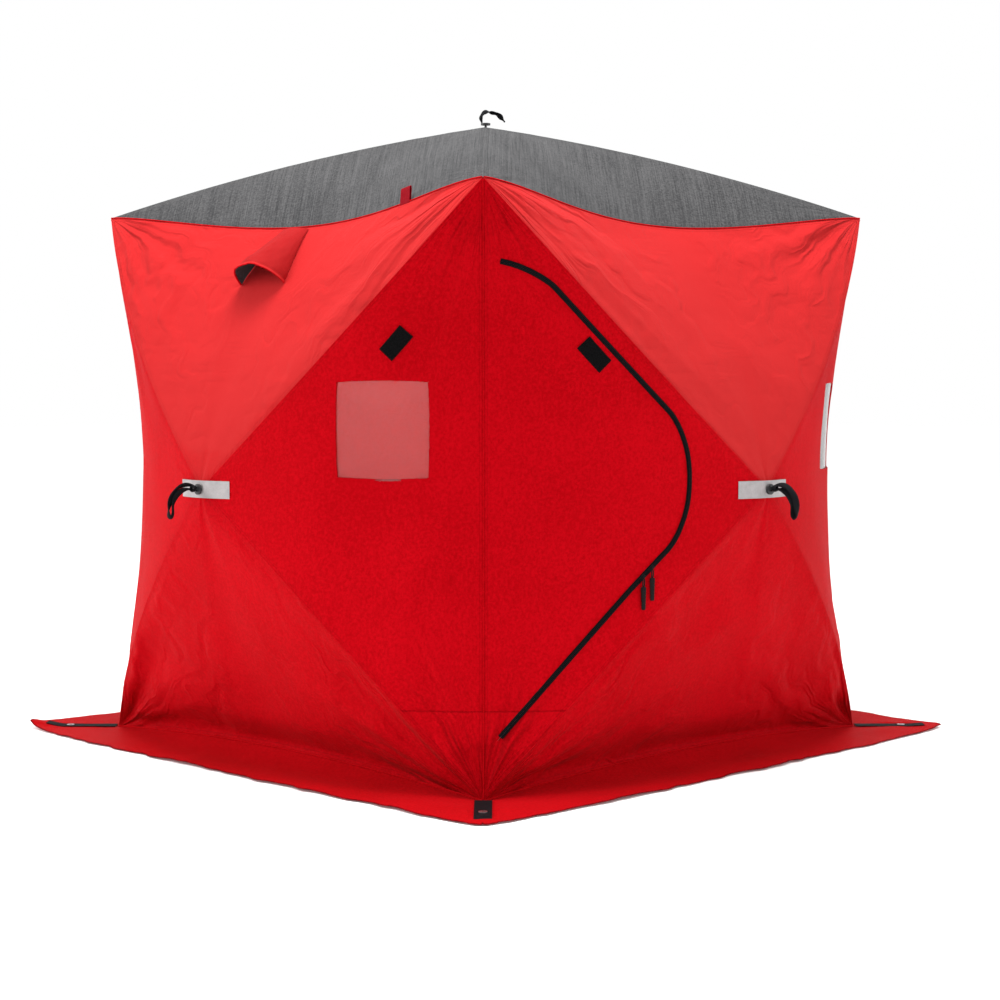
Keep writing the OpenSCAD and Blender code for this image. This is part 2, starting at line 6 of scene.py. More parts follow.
import bmesh
import bpy
import numpy as np
from mathutils import Vector
from mathutils.geometry import delaunay_2d_cdt
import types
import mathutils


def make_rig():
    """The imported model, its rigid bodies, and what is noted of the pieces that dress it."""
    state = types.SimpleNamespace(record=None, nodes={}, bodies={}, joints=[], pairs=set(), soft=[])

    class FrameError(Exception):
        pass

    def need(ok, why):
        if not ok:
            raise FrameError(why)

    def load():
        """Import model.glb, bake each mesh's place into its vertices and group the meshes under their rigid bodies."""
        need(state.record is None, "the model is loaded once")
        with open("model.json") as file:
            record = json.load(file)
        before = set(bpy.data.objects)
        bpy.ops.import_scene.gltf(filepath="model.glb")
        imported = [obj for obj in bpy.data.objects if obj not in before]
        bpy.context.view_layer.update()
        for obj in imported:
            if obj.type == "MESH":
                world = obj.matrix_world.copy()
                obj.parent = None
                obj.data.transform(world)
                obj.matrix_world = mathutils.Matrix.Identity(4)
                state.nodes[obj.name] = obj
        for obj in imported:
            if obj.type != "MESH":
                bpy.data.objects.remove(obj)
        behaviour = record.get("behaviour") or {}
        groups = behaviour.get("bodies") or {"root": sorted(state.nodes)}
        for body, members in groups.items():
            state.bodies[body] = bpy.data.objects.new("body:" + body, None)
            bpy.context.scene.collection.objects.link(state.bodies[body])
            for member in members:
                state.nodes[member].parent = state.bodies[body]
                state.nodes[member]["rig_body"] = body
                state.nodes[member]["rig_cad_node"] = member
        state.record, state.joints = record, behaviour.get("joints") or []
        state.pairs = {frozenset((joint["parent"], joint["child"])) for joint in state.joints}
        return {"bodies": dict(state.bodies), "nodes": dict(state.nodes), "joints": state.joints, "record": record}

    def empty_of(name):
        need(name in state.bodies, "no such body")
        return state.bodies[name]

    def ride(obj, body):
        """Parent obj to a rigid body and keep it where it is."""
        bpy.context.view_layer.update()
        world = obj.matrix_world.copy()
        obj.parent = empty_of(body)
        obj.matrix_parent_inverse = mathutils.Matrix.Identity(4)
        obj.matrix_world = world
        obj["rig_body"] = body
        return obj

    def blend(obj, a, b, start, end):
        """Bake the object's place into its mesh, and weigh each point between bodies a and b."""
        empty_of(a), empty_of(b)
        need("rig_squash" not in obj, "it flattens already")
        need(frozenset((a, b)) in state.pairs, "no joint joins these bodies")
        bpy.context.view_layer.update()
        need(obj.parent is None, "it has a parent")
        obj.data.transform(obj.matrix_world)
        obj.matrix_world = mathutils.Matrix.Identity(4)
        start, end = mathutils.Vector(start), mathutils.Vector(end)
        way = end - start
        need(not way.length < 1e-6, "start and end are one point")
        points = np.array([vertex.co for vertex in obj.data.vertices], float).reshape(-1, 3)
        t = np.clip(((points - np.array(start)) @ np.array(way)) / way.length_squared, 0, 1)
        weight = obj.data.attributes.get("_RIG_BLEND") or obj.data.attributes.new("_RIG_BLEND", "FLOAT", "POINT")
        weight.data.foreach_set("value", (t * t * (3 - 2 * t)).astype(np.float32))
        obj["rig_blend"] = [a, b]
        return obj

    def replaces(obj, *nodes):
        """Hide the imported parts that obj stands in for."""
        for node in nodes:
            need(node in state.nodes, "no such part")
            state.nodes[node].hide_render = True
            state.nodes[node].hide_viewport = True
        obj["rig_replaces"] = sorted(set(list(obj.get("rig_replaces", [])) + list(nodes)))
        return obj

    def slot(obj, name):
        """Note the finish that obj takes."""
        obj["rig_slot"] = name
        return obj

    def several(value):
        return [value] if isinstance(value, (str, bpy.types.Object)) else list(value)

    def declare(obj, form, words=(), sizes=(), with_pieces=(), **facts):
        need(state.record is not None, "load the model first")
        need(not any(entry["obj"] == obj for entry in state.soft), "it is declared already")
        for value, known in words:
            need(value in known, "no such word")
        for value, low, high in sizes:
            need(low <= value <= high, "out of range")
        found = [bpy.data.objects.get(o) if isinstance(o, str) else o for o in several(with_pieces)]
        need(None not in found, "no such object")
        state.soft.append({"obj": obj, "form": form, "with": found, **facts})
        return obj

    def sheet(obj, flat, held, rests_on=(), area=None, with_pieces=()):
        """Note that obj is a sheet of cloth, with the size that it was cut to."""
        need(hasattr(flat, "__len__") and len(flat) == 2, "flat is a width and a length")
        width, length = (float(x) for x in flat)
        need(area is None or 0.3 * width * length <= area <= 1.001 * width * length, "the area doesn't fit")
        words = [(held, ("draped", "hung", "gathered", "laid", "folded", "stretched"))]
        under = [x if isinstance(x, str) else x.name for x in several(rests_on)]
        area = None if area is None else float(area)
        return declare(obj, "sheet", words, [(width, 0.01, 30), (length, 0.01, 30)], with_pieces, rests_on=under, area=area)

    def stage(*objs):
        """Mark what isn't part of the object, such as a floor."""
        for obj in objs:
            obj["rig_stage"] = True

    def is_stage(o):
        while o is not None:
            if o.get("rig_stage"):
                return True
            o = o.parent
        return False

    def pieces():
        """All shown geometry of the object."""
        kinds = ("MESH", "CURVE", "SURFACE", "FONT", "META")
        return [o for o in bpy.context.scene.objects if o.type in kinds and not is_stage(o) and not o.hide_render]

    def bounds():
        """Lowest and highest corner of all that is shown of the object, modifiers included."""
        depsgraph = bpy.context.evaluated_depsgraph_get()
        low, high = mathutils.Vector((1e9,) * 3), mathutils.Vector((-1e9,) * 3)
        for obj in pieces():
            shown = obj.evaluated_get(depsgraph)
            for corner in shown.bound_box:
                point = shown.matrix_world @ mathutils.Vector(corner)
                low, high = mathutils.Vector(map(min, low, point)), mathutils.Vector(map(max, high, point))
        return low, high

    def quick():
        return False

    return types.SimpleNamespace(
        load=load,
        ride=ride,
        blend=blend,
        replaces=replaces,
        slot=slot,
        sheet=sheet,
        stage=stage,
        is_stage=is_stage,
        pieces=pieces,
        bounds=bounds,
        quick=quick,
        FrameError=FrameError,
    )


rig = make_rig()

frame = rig.load()
CAD_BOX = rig.bounds()
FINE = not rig.quick()

# ---------- sizes, the same as the part's ----------
HALF_BASE = 0.889
HALF_TOP = 0.8955
WALL_H = 1.734
ROOF_H = 2.040
HUB_H = 0.857
HUB_OUT = 0.305
FABRIC_T = 0.005
SEAM_IN = 0.120
ROOF_SEAM_DIP = 0.075
ROOF_SEAM_IN = 0.120
BOTTOM_SEAM_LIFT = 0.040
BOTTOM_SEAM_OUT = 0.015
POLE_OUT_BOW = 0.030
POLE_SIDE_BOW = 0.040
ROOF_POLE_BOW = 0.030
SKIRT_W = 0.255
SKIRT_CORNER_W = 0.205
CORNER_BLUNT = 0.3
SKIRT_T = 0.003
BASE_Z = 0.004
TOP_SEAM_POWER = 1.6
APEX_S = 0.03
DOOR_TIP_S = 0.288
DOOR_ROUND_S = 0.368
DOOR_HINGE_S = 0.955
ZIP_END_S = 0.942
WINDOW_IN_S = 0.495
WINDOW_OUT_S = 0.81
WINDOW_LOW = 0.902
WINDOW_HIGH = 1.173
DOOR_TOP_MARGIN = 0.085
DOOR_LOW_MARGIN = 0.145
DOOR_LOW_TAPER = 0.022
DOOR_CORNER_S = 0.76
CORNER_DROP = 0.468
CORNER_POWER = 1.25
ROUND_POWER = 2.4
VENT_MOUTH_S = 0.755
VENT_BACK_S = 0.985
VENT_T = 0.475
ANCHOR_EYE_OUT = 0.165
LOW_SEAM = 0.247      # height of the level seam across the side gores
CUT_BULGE = 0.004     # how far the window's cut edges bow out
FLAT_WIDTH = 1.7      # a gore's width in the flat coordinates that it is cut in
DOOR_FLAT = np.array([0.93, 1.73])     # metres across and along the left side gore for the door's outline
DOOR_CUT = 0.0005     # half the gap between the door and its doorway
# height that each skirt corner curls up, by its direction in degrees, and where the curl begins and ends
CORNER_CURL = {45: 0.012, 135: 0.022, 225: 0.0, 315: 0.006}
CURL_RUN = (1.435, 1.56)

WALLS = {"front": 0, "left": -90, "back": 180, "right": 90}
TOP, RIGHT_SIDE, BOTTOM, LEFT_SIDE, ROOF = range(5)


# ---------- numbers ----------
def unit(v):
    return v / np.maximum(np.linalg.norm(v, axis=-1, keepdims=True), 1e-12)


def mix(a, b, t):
    return a + (b - a) * t


def bow(t):
    return 4 * t * (1 - t)


def ramp(x, low, high):
    x = np.clip((np.asarray(x, float) - low) / (high - low), 0, 1)
    return x * x * (3 - 2 * x)


NOISE_CELLS = 64
_tables = {}


def noise(x, y, seed):
    """Smooth noise from -1 to 1 with a cell size of 1."""
    if seed not in _tables:
        _tables[seed] = np.random.default_rng(seed).uniform(-1, 1, (NOISE_CELLS, NOISE_CELLS))
    table = _tables[seed]
    x, y = np.broadcast_arrays(np.asarray(x, float), np.asarray(y, float))
    xi, yi = np.floor(x).astype(int), np.floor(y).astype(int)
    fx, fy = x - xi, y - yi
    fx, fy = fx * fx * (3 - 2 * fx), fy * fy * (3 - 2 * fy)
    x0, y0, x1, y1 = [v % NOISE_CELLS for v in (xi, yi, xi + 1, yi + 1)]
    a, b, c, d = table[x0, y0], table[x1, y0], table[x0, y1], table[x1, y1]
    return mix(mix(a, b, fx), mix(c, d, fx), fy)


def stack3(x, y, z):
    """Points from their three parts, whose shapes go together."""
    return np.stack(np.broadcast_arrays(x, y, z), -1)


def turned(points, degrees):
    a = math.radians(degrees)
    turn = np.array([[math.cos(a), math.sin(a), 0], [-math.sin(a), math.cos(a), 0], [0, 0, 1]])
    return np.asarray(points) @ turn


# ---------- the fabric surface of one wall, facing -Y, or of its stretch of roof ----------
def top_corner(side):
    return np.array([side * HALF_TOP, -HALF_TOP, WALL_H])


def base_corner(side):
    return np.array([side * HALF_BASE, -HALF_BASE, BASE_Z])


CORNERS = {
    TOP: (top_corner(-1), top_corner(1), -1, 1),
    RIGHT_SIDE: (base_corner(1), top_corner(1), 1, 1),
    BOTTOM: (base_corner(-1), base_corner(1), -1, 1),
    LEFT_SIDE: (base_corner(-1), top_corner(-1), -1, -1),
    ROOF: (top_corner(-1), top_corner(1), -1, 1),
}
WALL_PEAK = np.array([0, -(HALF_BASE + HUB_OUT), HUB_H])
ROOF_PEAK = np.array([0, 0, ROOF_H])
FACING = {TOP: -1, RIGHT_SIDE: 1, BOTTOM: 1, LEFT_SIDE: -1, ROOF: 1}


def seam_sag(g, t):
    if g in (TOP, ROOF):
        return bow(t) ** TOP_SEAM_POWER * np.array([0, ROOF_SEAM_IN, -ROOF_SEAM_DIP])
    if g == BOTTOM:
        return bow(t) * np.array([0, -BOTTOM_SEAM_OUT, BOTTOM_SEAM_LIFT])
    return SEAM_IN * bow(t) * np.array([-CORNERS[g][2], 1, 0]) / math.sqrt(2)


def ridge(g, corner, side, s):
    if g == ROOF:
        return mix(ROOF_PEAK, corner, s) + bow(s) * np.array([0, 0, ROOF_POLE_BOW])
    return mix(WALL_PEAK, corner, s) + bow(s) * np.array([side * POLE_SIDE_BOW, -POLE_OUT_BOW, 0])


def skin(g, s, t):
    s, t = np.broadcast_arrays(np.asarray(s, float), np.asarray(t, float))
    s, t = s[..., None], t[..., None]
    c1, c2, side1, side2 = CORNERS[g]
    a, b = ridge(g, c1, side1, s), ridge(g, c2, side2, s)
    return a + (b - a) * t + s ** 2 * seam_sag(g, np.clip(t, 0, 1))


def skin_normal(g, s, t):
    s, t = np.broadcast_arrays(np.asarray(s, float), np.asarray(t, float))
    e = 0.01
    t0, t1 = np.clip(t - e, 0, 1), np.clip(t + e, 0, 1)
    return FACING[g] * unit(np.cross(skin(g, s + e, t) - skin(g, s - e, t), skin(g, s, t1) - skin(g, s, t0)))


def t_at_height(s, z):
    return ((z - HUB_H) / s + HUB_H - BASE_Z) / (WALL_H - BASE_Z)


# ---------- door outline ----------
def door_high(s):
    drop = CORNER_DROP * np.maximum(0, s - DOOR_CORNER_S) ** CORNER_POWER
    return 1 - DOOR_TOP_MARGIN / (WALL_H * s) - drop


def door_low(s):
    taper = np.maximum(0, s - WINDOW_IN_S) / (DOOR_HINGE_S - WINDOW_IN_S)
    return (DOOR_LOW_MARGIN - DOOR_LOW_TAPER * taper) / (WALL_H * s)


def door_edge(s, way):
    s = np.asarray(s, float)
    k = np.clip((DOOR_ROUND_S - s) / (DOOR_ROUND_S - DOOR_TIP_S), 0, 1)
    share = np.maximum(0, 1 - k ** ROUND_POWER) ** (1 / ROUND_POWER)
    return (door_high(s) + door_low(s)) / 2 + way * (door_high(s) - door_low(s)) / 2 * share


def door_line(s_end, n_side=70, n_tip=46):
    """Stations from the hinge side along the upper edge, round the tip and back along the lower edge."""
    along = np.linspace(s_end, DOOR_ROUND_S, n_side, endpoint=False)
    a = np.linspace(0, math.pi / 2, n_tip)
    tip = DOOR_ROUND_S - (DOOR_ROUND_S - DOOR_TIP_S) * np.sin(a) ** (2 / ROUND_POWER)
    s = np.concatenate([along, tip])
    upper = np.stack([s, door_edge(s, 1)], -1)
    lower = np.stack([s, door_edge(s, -1)], -1)[::-1][1:]
    return np.concatenate([upper, lower])


ZIP_LINE = door_line(ZIP_END_S)
ZIP_POINTS = skin(LEFT_SIDE, ZIP_LINE[:, 0], ZIP_LINE[:, 1])
ZIP_RUN = np.concatenate([[0], np.cumsum(np.linalg.norm(np.diff(ZIP_POINTS, axis=0), axis=1))])


# ---------- creases ----------
def gore_seed(wall, g):
    return 10 * (sorted(WALLS).index(wall) + 1) + g


def corner_ways(g, k):
    """The two ways that creases fan out between at a gore's corner k: its ridge and its sewn edge."""
    return skin(g, 0.9, float(k)), skin(g, 1.0, 0.1 if k == 0 else 0.9)


def fan_place(p, corner, toward_a, toward_b):
    """How far points lie on the way from a to b, from 0 to 1, and their distance from the corner."""
    v = p - corner
    a, b = unit(toward_a - corner), unit(toward_b - corner)
    phi = np.arctan2(v @ np.cross(unit(np.cross(a, b)), a), v @ a)
    return phi / math.acos(float(a @ b)), np.linalg.norm(v, axis=-1)


def fan(p, corner, toward_a, toward_b, folds, reach, height, seed, sharp=0.6):
    """Creases that run out of a corner between two edges."""
    f, r = fan_place(p, corner, toward_a, toward_b)
    f = np.clip(f, 0, 1)
    w = noise(f * folds + 11.3 * seed, r * 1.1 / reach + 3.7 * seed, seed)
    crest = 1 - 2.4 * np.abs(w)
    wave = sharp * crest + (1 - sharp) * w * 1.6
    reach_f = reach * (0.65 + 0.5 * noise(f * folds * 0.6 + 5, seed * 1.7, seed + 1))
    k = r / np.maximum(reach_f, 0.05)
    return height * wave * k * np.exp(1 - k) * np.sin(math.pi * f) ** 0.5 * (k < 6)


def seam_distance(g, s, t):
    """Distance to the nearest sewn edge of a gore, and how far along that edge."""
    c1, c2 = CORNERS[g][:2]
    width = np.linalg.norm(c2 - c1)
    depth = np.linalg.norm((c1 + c2) / 2 - (ROOF_PEAK if g == ROOF else WALL_PEAK))
    lean = 0.75 if g == ROOF else 0.82
    d = np.stack([t * s * width * lean, (1 - t) * s * width * lean, (1 - s) * depth])
    k = d.argmin(0)
    along = np.where(k == 2, t * width, s * 1.25)
    return d.min(0), along


# folds, reach, height and sharpness of the fans of creases out of a gore's corners
ROOF_FANS = [(7, 0.16, 0.0028, 0.6)]
BOTTOM_FANS = [(5, 0.20, 0.0070, 0.6), (3, 0.50, 0.0240, 0.5)]
UPPER_FANS = [(9, 0.15, 0.0034, 0.6), (4, 0.50, 0.0075, 0.5)]
LOWER_FANS = [(4, 0.20, 0.0045, 0.6), (3, 0.34, 0.0070, 0.7)]


def relief(wall, g, s, t, p=None):
    """How far the fabric stands out of its taut shape, with its creases."""
    s, t = np.broadcast_arrays(np.asarray(s, float), np.asarray(t, float))
    if p is None:
        p = skin(g, s, t)
    seed = gore_seed(wall, g)
    peak = ROOF_PEAK if g == ROOF else WALL_PEAK
    d, along = seam_distance(g, s, t)
    h = np.zeros(s.shape)
    for k, corner in enumerate(CORNERS[g][:2]):
        fans = {ROOF: ROOF_FANS, BOTTOM: BOTTOM_FANS}.get(g, UPPER_FANS if corner[2] > 1 else LOWER_FANS)
        for j, (folds, reach, height, sharp) in enumerate(fans):
            h += fan(p, corner, *corner_ways(g, k), folds, reach, height, seed + 40 * k + 5 * j, sharp)
    h += fan(p, peak, skin(g, 0.3, 0.0), skin(g, 0.3, 1.0), 6, 0.10, 0.0016, seed + 7)
    run, rise = p[..., 0], p[..., 2] + (p[..., 1] if g == ROOF else 0)
    h += 0.0022 * noise(run * 3.1 + seed, rise * 2.7, seed + 2)
    h += 0.0011 * noise(run * 8.3, rise * 7.1 + seed, seed + 3)
    patch = ramp(noise(run * 2.3 + 7, rise * 2.1 + seed, seed + 4), 0.0, 0.6)
    h += 0.0009 * patch * noise(run * 7, rise * 42, seed + 5)
    if g == BOTTOM:
        h += 0.005 * ramp(s, 0.45, 0.8) * noise(run * 1.6 + seed, s * 9, seed + 6)
    h *= ramp(d, 0.0, 0.05)
    if g == BOTTOM:
        h -= 0.012 * ramp(s, 0.86, 0.975) * ramp(d, 0, 0.02) * np.sin(math.pi * np.clip(t, 0, 1)) ** 0.5
    h -= 0.0007 * np.exp(-((d / 0.005) ** 2))
    h += 0.0008 * np.exp(-d / 0.02) * noise(along * 38, d * 20, seed + 8) * ramp(d, 0, 0.006)
    if g in (LEFT_SIDE, RIGHT_SIDE):
        low = np.abs(p[..., 2] - LOW_SEAM)
        h -= 0.0010 * np.exp(-((low / 0.012) ** 2))
    if wall == "front" and g == LEFT_SIDE:
        flat = p.reshape(-1, 3)
        gap = np.empty(len(flat))
        run_at = np.empty(len(flat))
        for i in range(0, len(flat), 4000):
            m = np.linalg.norm(flat[i:i + 4000, None] - ZIP_POINTS[None], axis=-1)
            gap[i:i + 4000], run_at[i:i + 4000] = m.min(1), ZIP_RUN[m.argmin(1)]
        gap, run_at = gap.reshape(s.shape), run_at.reshape(s.shape)
        h += 0.0009 * np.exp(-gap / 0.03) * noise(run_at * 26, gap * 14, 77) * ramp(gap, 0.004, 0.02)
        h *= ramp(gap, -0.01, 0.012)
    return h


FOLD_STRENGTH = {TOP: (1.2, 0.60), BOTTOM: (1.1, 0.65), ROOF: (1.5, 0.30)}


def fold_coords(wall, g, s, t):
    """Where a point lies in the fan of creases of its nearer corner: across, along, and how deep they are."""
    p = skin(g, s, t)
    out = np.zeros(p.shape)
    for k, corner in enumerate(CORNERS[g][:2]):
        f, r = fan_place(p, corner, *corner_ways(g, k))
        deep, reach = FOLD_STRENGTH.get(g, (0.8, 0.42) if corner[2] > 1 else (1.5, 0.34))
        seed = gore_seed(wall, g) + 40 * k
        f = f + 0.05 * noise(f * 3 + seed, r * 3, seed)
        depth = deep * np.minimum(1, r / 0.16) ** 1.4 * np.exp(-((r / reach) ** 1.3))
        near = (t < 0.5) == (k == 0)
        out[near] = np.stack([f + seed, r, depth * ramp(np.abs(t - 0.5), 0.0, 0.12)], -1)[near]
    return out


def on_cloth(wall, g, s, t, lift=0.0):
    """Points on a wall's creased fabric, in the hut's frame, and its outward directions."""
    p = skin(g, s, t)
    n = skin_normal(g, s, t)
    p = p + n * (relief(wall, g, s, t, p) + lift)[..., None]
    return turned(p, WALLS[wall]), turned(n, WALLS[wall])


# ---------- meshes ----------
MATERIALS = {}
BODY = "shelter"


def make(name, points, faces, mats, slot, body=BODY, index=None, coats=None, sharp=40,
         replaces=(), ride=True):
    """A mesh object on a body. coats are per-point vectors kept as attributes for the materials."""
    mesh = bpy.data.meshes.new(name)
    mesh.from_pydata([tuple(map(float, p)) for p in points], [], [tuple(map(int, f)) for f in faces])
    mesh.polygons.foreach_set("use_smooth", np.ones(len(mesh.polygons), bool))
    for m in mats:
        mesh.materials.append(MATERIALS[m])
    if index is not None:
        mesh.polygons.foreach_set("material_index", np.asarray(index, np.int32))
    for key, values in (coats or {}).items():
        a = mesh.attributes.new(key, "FLOAT_VECTOR", "POINT")
        a.data.foreach_set("vector", np.asarray(values, np.float32).ravel())
    mesh.update()
    mesh.set_sharp_from_angle(angle=math.radians(sharp))
    obj = bpy.data.objects.new(name, mesh)
    bpy.context.scene.collection.objects.link(obj)
    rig.slot(obj, slot)
    if ride:
        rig.ride(obj, body)
    if replaces:
        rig.replaces(obj, *replaces)
    return obj


class Parts:
    """Points and faces gathered from several shapes for one mesh."""

    def __init__(self):
        self.points, self.faces, self.index, self.coats = [], [], [], {}
        self.count = 0

    def add(self, points, faces, index=0, **coats):
        points = np.asarray(points, float).reshape(-1, 3)
        self.points.append(points)
        self.faces += [tuple(int(i) + self.count for i in f) for f in faces]
        self.index += list(index) if hasattr(index, "__len__") else [index] * len(faces)
        for k, v in coats.items():
            self.coats.setdefault(k, []).append(np.asarray(v, float).reshape(-1, 3))
        self.count += len(points)
        return self

    def sheet(self, points, normals, faces, depth, one_material=False, **coats):
        """A sheet of the given thickness. The coats are given for its outer points."""
        points, normals = np.reshape(points, (-1, 3)), np.reshape(normals, (-1, 3))
        points, faces, index = thicken(points, normals, faces, depth)
        both = {k: np.concatenate([np.reshape(v, (-1, 3))] * 2) for k, v in coats.items()}
        return self.add(points, faces, 0 if one_material else index, **both)

    def make(self, name, mats, slot, **options):
        coats = {k: np.concatenate(v) for k, v in self.coats.items()}
        return make(name, np.concatenate(self.points), self.faces, mats, slot,
                    index=self.index, coats=coats, **options)


def grid_faces(n, m, flip=False, close=False):
    faces = []
    for i in range(n - 1):
        for j in range(m if close else m - 1):
            k = (j + 1) % m
            quad = (i * m + j, (i + 1) * m + j, (i + 1) * m + k, i * m + k)
            faces.append(quad[::-1] if flip else quad)
    return faces


def thicken(points, normals, faces, depth):
    """A closed sheet: the faces, the same set back, and a rim. The last list is 1 for inner faces."""
    n = len(points)
    inner = points - normals * depth
    count = {}
    for f in faces:
        for a, b in zip(f, f[1:] + f[:1]):
            count[(a, b)] = True
    rim = [(b, a, a + n, b + n) for (a, b) in count if (b, a) not in count]
    back = [tuple(i + n for i in f[::-1]) for f in faces]
    index = [0] * len(faces) + [1] * len(back) + [0] * len(rim)
    return np.concatenate([points, inner]), list(faces) + back + rim, index


def inside(poly, x, y):
    """Which points lie in a closed outline."""
    hit = np.zeros(len(x), bool)
    px, py = poly[:, 0], poly[:, 1]
    for i in range(len(poly)):
        x0, y0, x1, y1 = px[i - 1], py[i - 1], px[i], py[i]
        if y0 != y1:
            hit ^= ((y0 > y) != (y1 > y)) & (x < (x1 - x0) * (y - y0) / (y1 - y0) + x0)
    return hit


def spread(low, high, n, ends):
    """Stations from low to high that lie closer together at their ends; ends is 0 for even spacing."""
    x = np.linspace(0, 1, n)
    return low + (high - low) * mix(x, 0.5 - 0.5 * np.cos(math.pi * x), ends)


def gore_rows():
    """Stations of a gore's fabric, close together by the seams and corners."""
    n_t, n_s = (106, 62) if FINE else (54, 34)
    edge = np.array([0.0, 0.0022, 0.0048, 0.008])
    t = np.concatenate([edge, spread(0.0125, 0.9875, n_t - 8, 0.72), 1 - edge[::-1]])
    x = np.linspace(0, 1, n_s - 3)
    first = APEX_S * 0.35
    s = np.concatenate([first + (0.988 - first) * (1 - (1 - x) ** 1.35), [0.9925, 0.9965, 1.0]])
    return s, t


GORE_S, GORE_T = gore_rows()


def flat_coords(s, t):
    return np.stack([np.asarray(s), (np.asarray(t) - 0.5) * FLAT_WIDTH * np.asarray(s)], -1)


def clear_of(uv, line, gap=0.0035):
    """Which flat points lie further than gap from a closed outline."""
    a, ab = line, np.roll(line, -1, 0) - line
    clear = np.ones(len(uv), bool)
    for i in range(0, len(uv), 3000):
        q = uv[i:i + 3000, None]
        k = np.clip(((q - a) * ab).sum(-1) / np.maximum((ab ** 2).sum(-1), 1e-12), 0, 1)
        clear[i:i + 3000] = np.linalg.norm(q - (a + ab * k[..., None]), axis=-1).min(1) > gap
    return clear


def cut_gore(g, s, t, loops, keep_inside):
    """A gore's stations and faces without what the outlines cut out or, with keep_inside, only that."""
    lines = [flat_coords(loop[:, 0], loop[:, 1]) for loop in loops]
    uv = flat_coords(s, t)
    keep = np.all([clear_of(uv, line) for line in lines], 0)
    s, t = s[keep], t[keep]
    edges = []
    for loop in loops:
        start, m = len(s), len(loop)
        edges += [(start + i, start + (i + 1) % m) for i in range(m)]
        s, t = np.concatenate([s, loop[:, 0]]), np.concatenate([t, loop[:, 1]])
    out = delaunay_2d_cdt([Vector(p) for p in flat_coords(s, t)], edges, [], 0, 1e-7)
    verts = np.array([tuple(v) for v in out[0]])
    source = [ids[0] if ids else -1 for ids in out[3]]
    s = np.array([s[k] if k >= 0 else verts[i, 0] for i, k in enumerate(source)])
    t = np.array([t[k] if k >= 0 else verts[i, 1] / FLAT_WIDTH / max(verts[i, 0], 1e-6) + 0.5
                  for i, k in enumerate(source)])
    tris = np.array([f for f in out[2] if len(f) == 3])
    a, b, c = [verts[tris[:, k]] for k in range(3)]
    area = (b[:, 0] - a[:, 0]) * (c[:, 1] - a[:, 1]) - (b[:, 1] - a[:, 1]) * (c[:, 0] - a[:, 0])
    mid = verts[tris].mean(1)
    cut = np.any([inside(line, mid[:, 0], mid[:, 1]) for line in lines], 0)
    wanted = (cut if keep_inside else ~cut) & (np.abs(area) > 1e-9)
    tris, area = tris[wanted], area[wanted]
    # in flat coordinates s runs with x and t with y, so a positive area faces as cross(ds, dt) does
    faces = [tuple(f) if (a > 0) == (FACING[g] > 0) else tuple(f[::-1]) for f, a in zip(tris.tolist(), area)]
    used = np.zeros(len(s), bool)
    used[tris.ravel()] = True
    remap = np.cumsum(used) - 1
    return s[used], t[used], [tuple(int(remap[i]) for i in f) for f in faces]


def gore_sheet(wall, g, loops=(), keep_inside=False):
    """Outer points, normals, faces and coats of a gore, cut by outlines given as stations."""
    s, t = [v.ravel() for v in np.meshgrid(GORE_S, GORE_T, indexing="ij")]
    if len(loops):
        s, t, faces = cut_gore(g, s, t, loops, keep_inside)
    else:
        faces = grid_faces(len(GORE_S), len(GORE_T), FACING[g] < 0)
    p, n = on_cloth(wall, g, s, t)
    d, along = seam_distance(g, s, t)
    low = skin(g, s, t)[:, 2] - LOW_SEAM if g in (LEFT_SIDE, RIGHT_SIDE) else 1.0
    coats = {"cloth": stack3(s * 0.95, (t - 0.5) * 1.75 * s, float(g)), "sewn": stack3(d, along, low),
             "fold": fold_coords(wall, g, s, t)}
    return p, n, faces, coats


def add_gore(parts, *cut, **options):
    p, n, faces, coats = gore_sheet(*cut, **options)
    parts.sheet(p, n, faces, FABRIC_T, **coats)


def area_of(obj, index=0):
    return sum(p.area for p in obj.data.polygons if p.material_index == index)


# ---------- outlines cut in the fabric, as stations ----------
def window_loop():
    """The window's outline; its cut edges bow out a little where the fabric is pulled."""
    s0, s1, z0, z1 = WINDOW_IN_S, WINDOW_OUT_S, WINDOW_LOW, WINDOW_HIGH
    k = np.linspace(0, 1, 26, endpoint=False)
    out = bow(k) * CUT_BULGE
    s = np.concatenate([mix(s0, s1, k), s1 + out / HALF_BASE, mix(s1, s0, k), s0 - out / HALF_BASE])
    z = np.concatenate([z0 - out, mix(z0, z1, k), z1 + out, mix(z1, z0, k)])
    return np.stack([s, t_at_height(s, z)], -1)


def vent_loop():
    """The vent's outline, a rectangle under the hood."""
    s0, s1, t0, t1 = 0.82, 0.92, VENT_T - 0.034, VENT_T + 0.034
    k = np.linspace(0, 1, 10, endpoint=False)
    s = np.concatenate([mix(s0, s1, k), s1 + 0 * k, mix(s1, s0, k), s0 + 0 * k])
    t = np.concatenate([t0 + 0 * k, mix(t0, t1, k), t1 + 0 * k, mix(t1, t0, k)])
    return np.stack([s, t], -1)


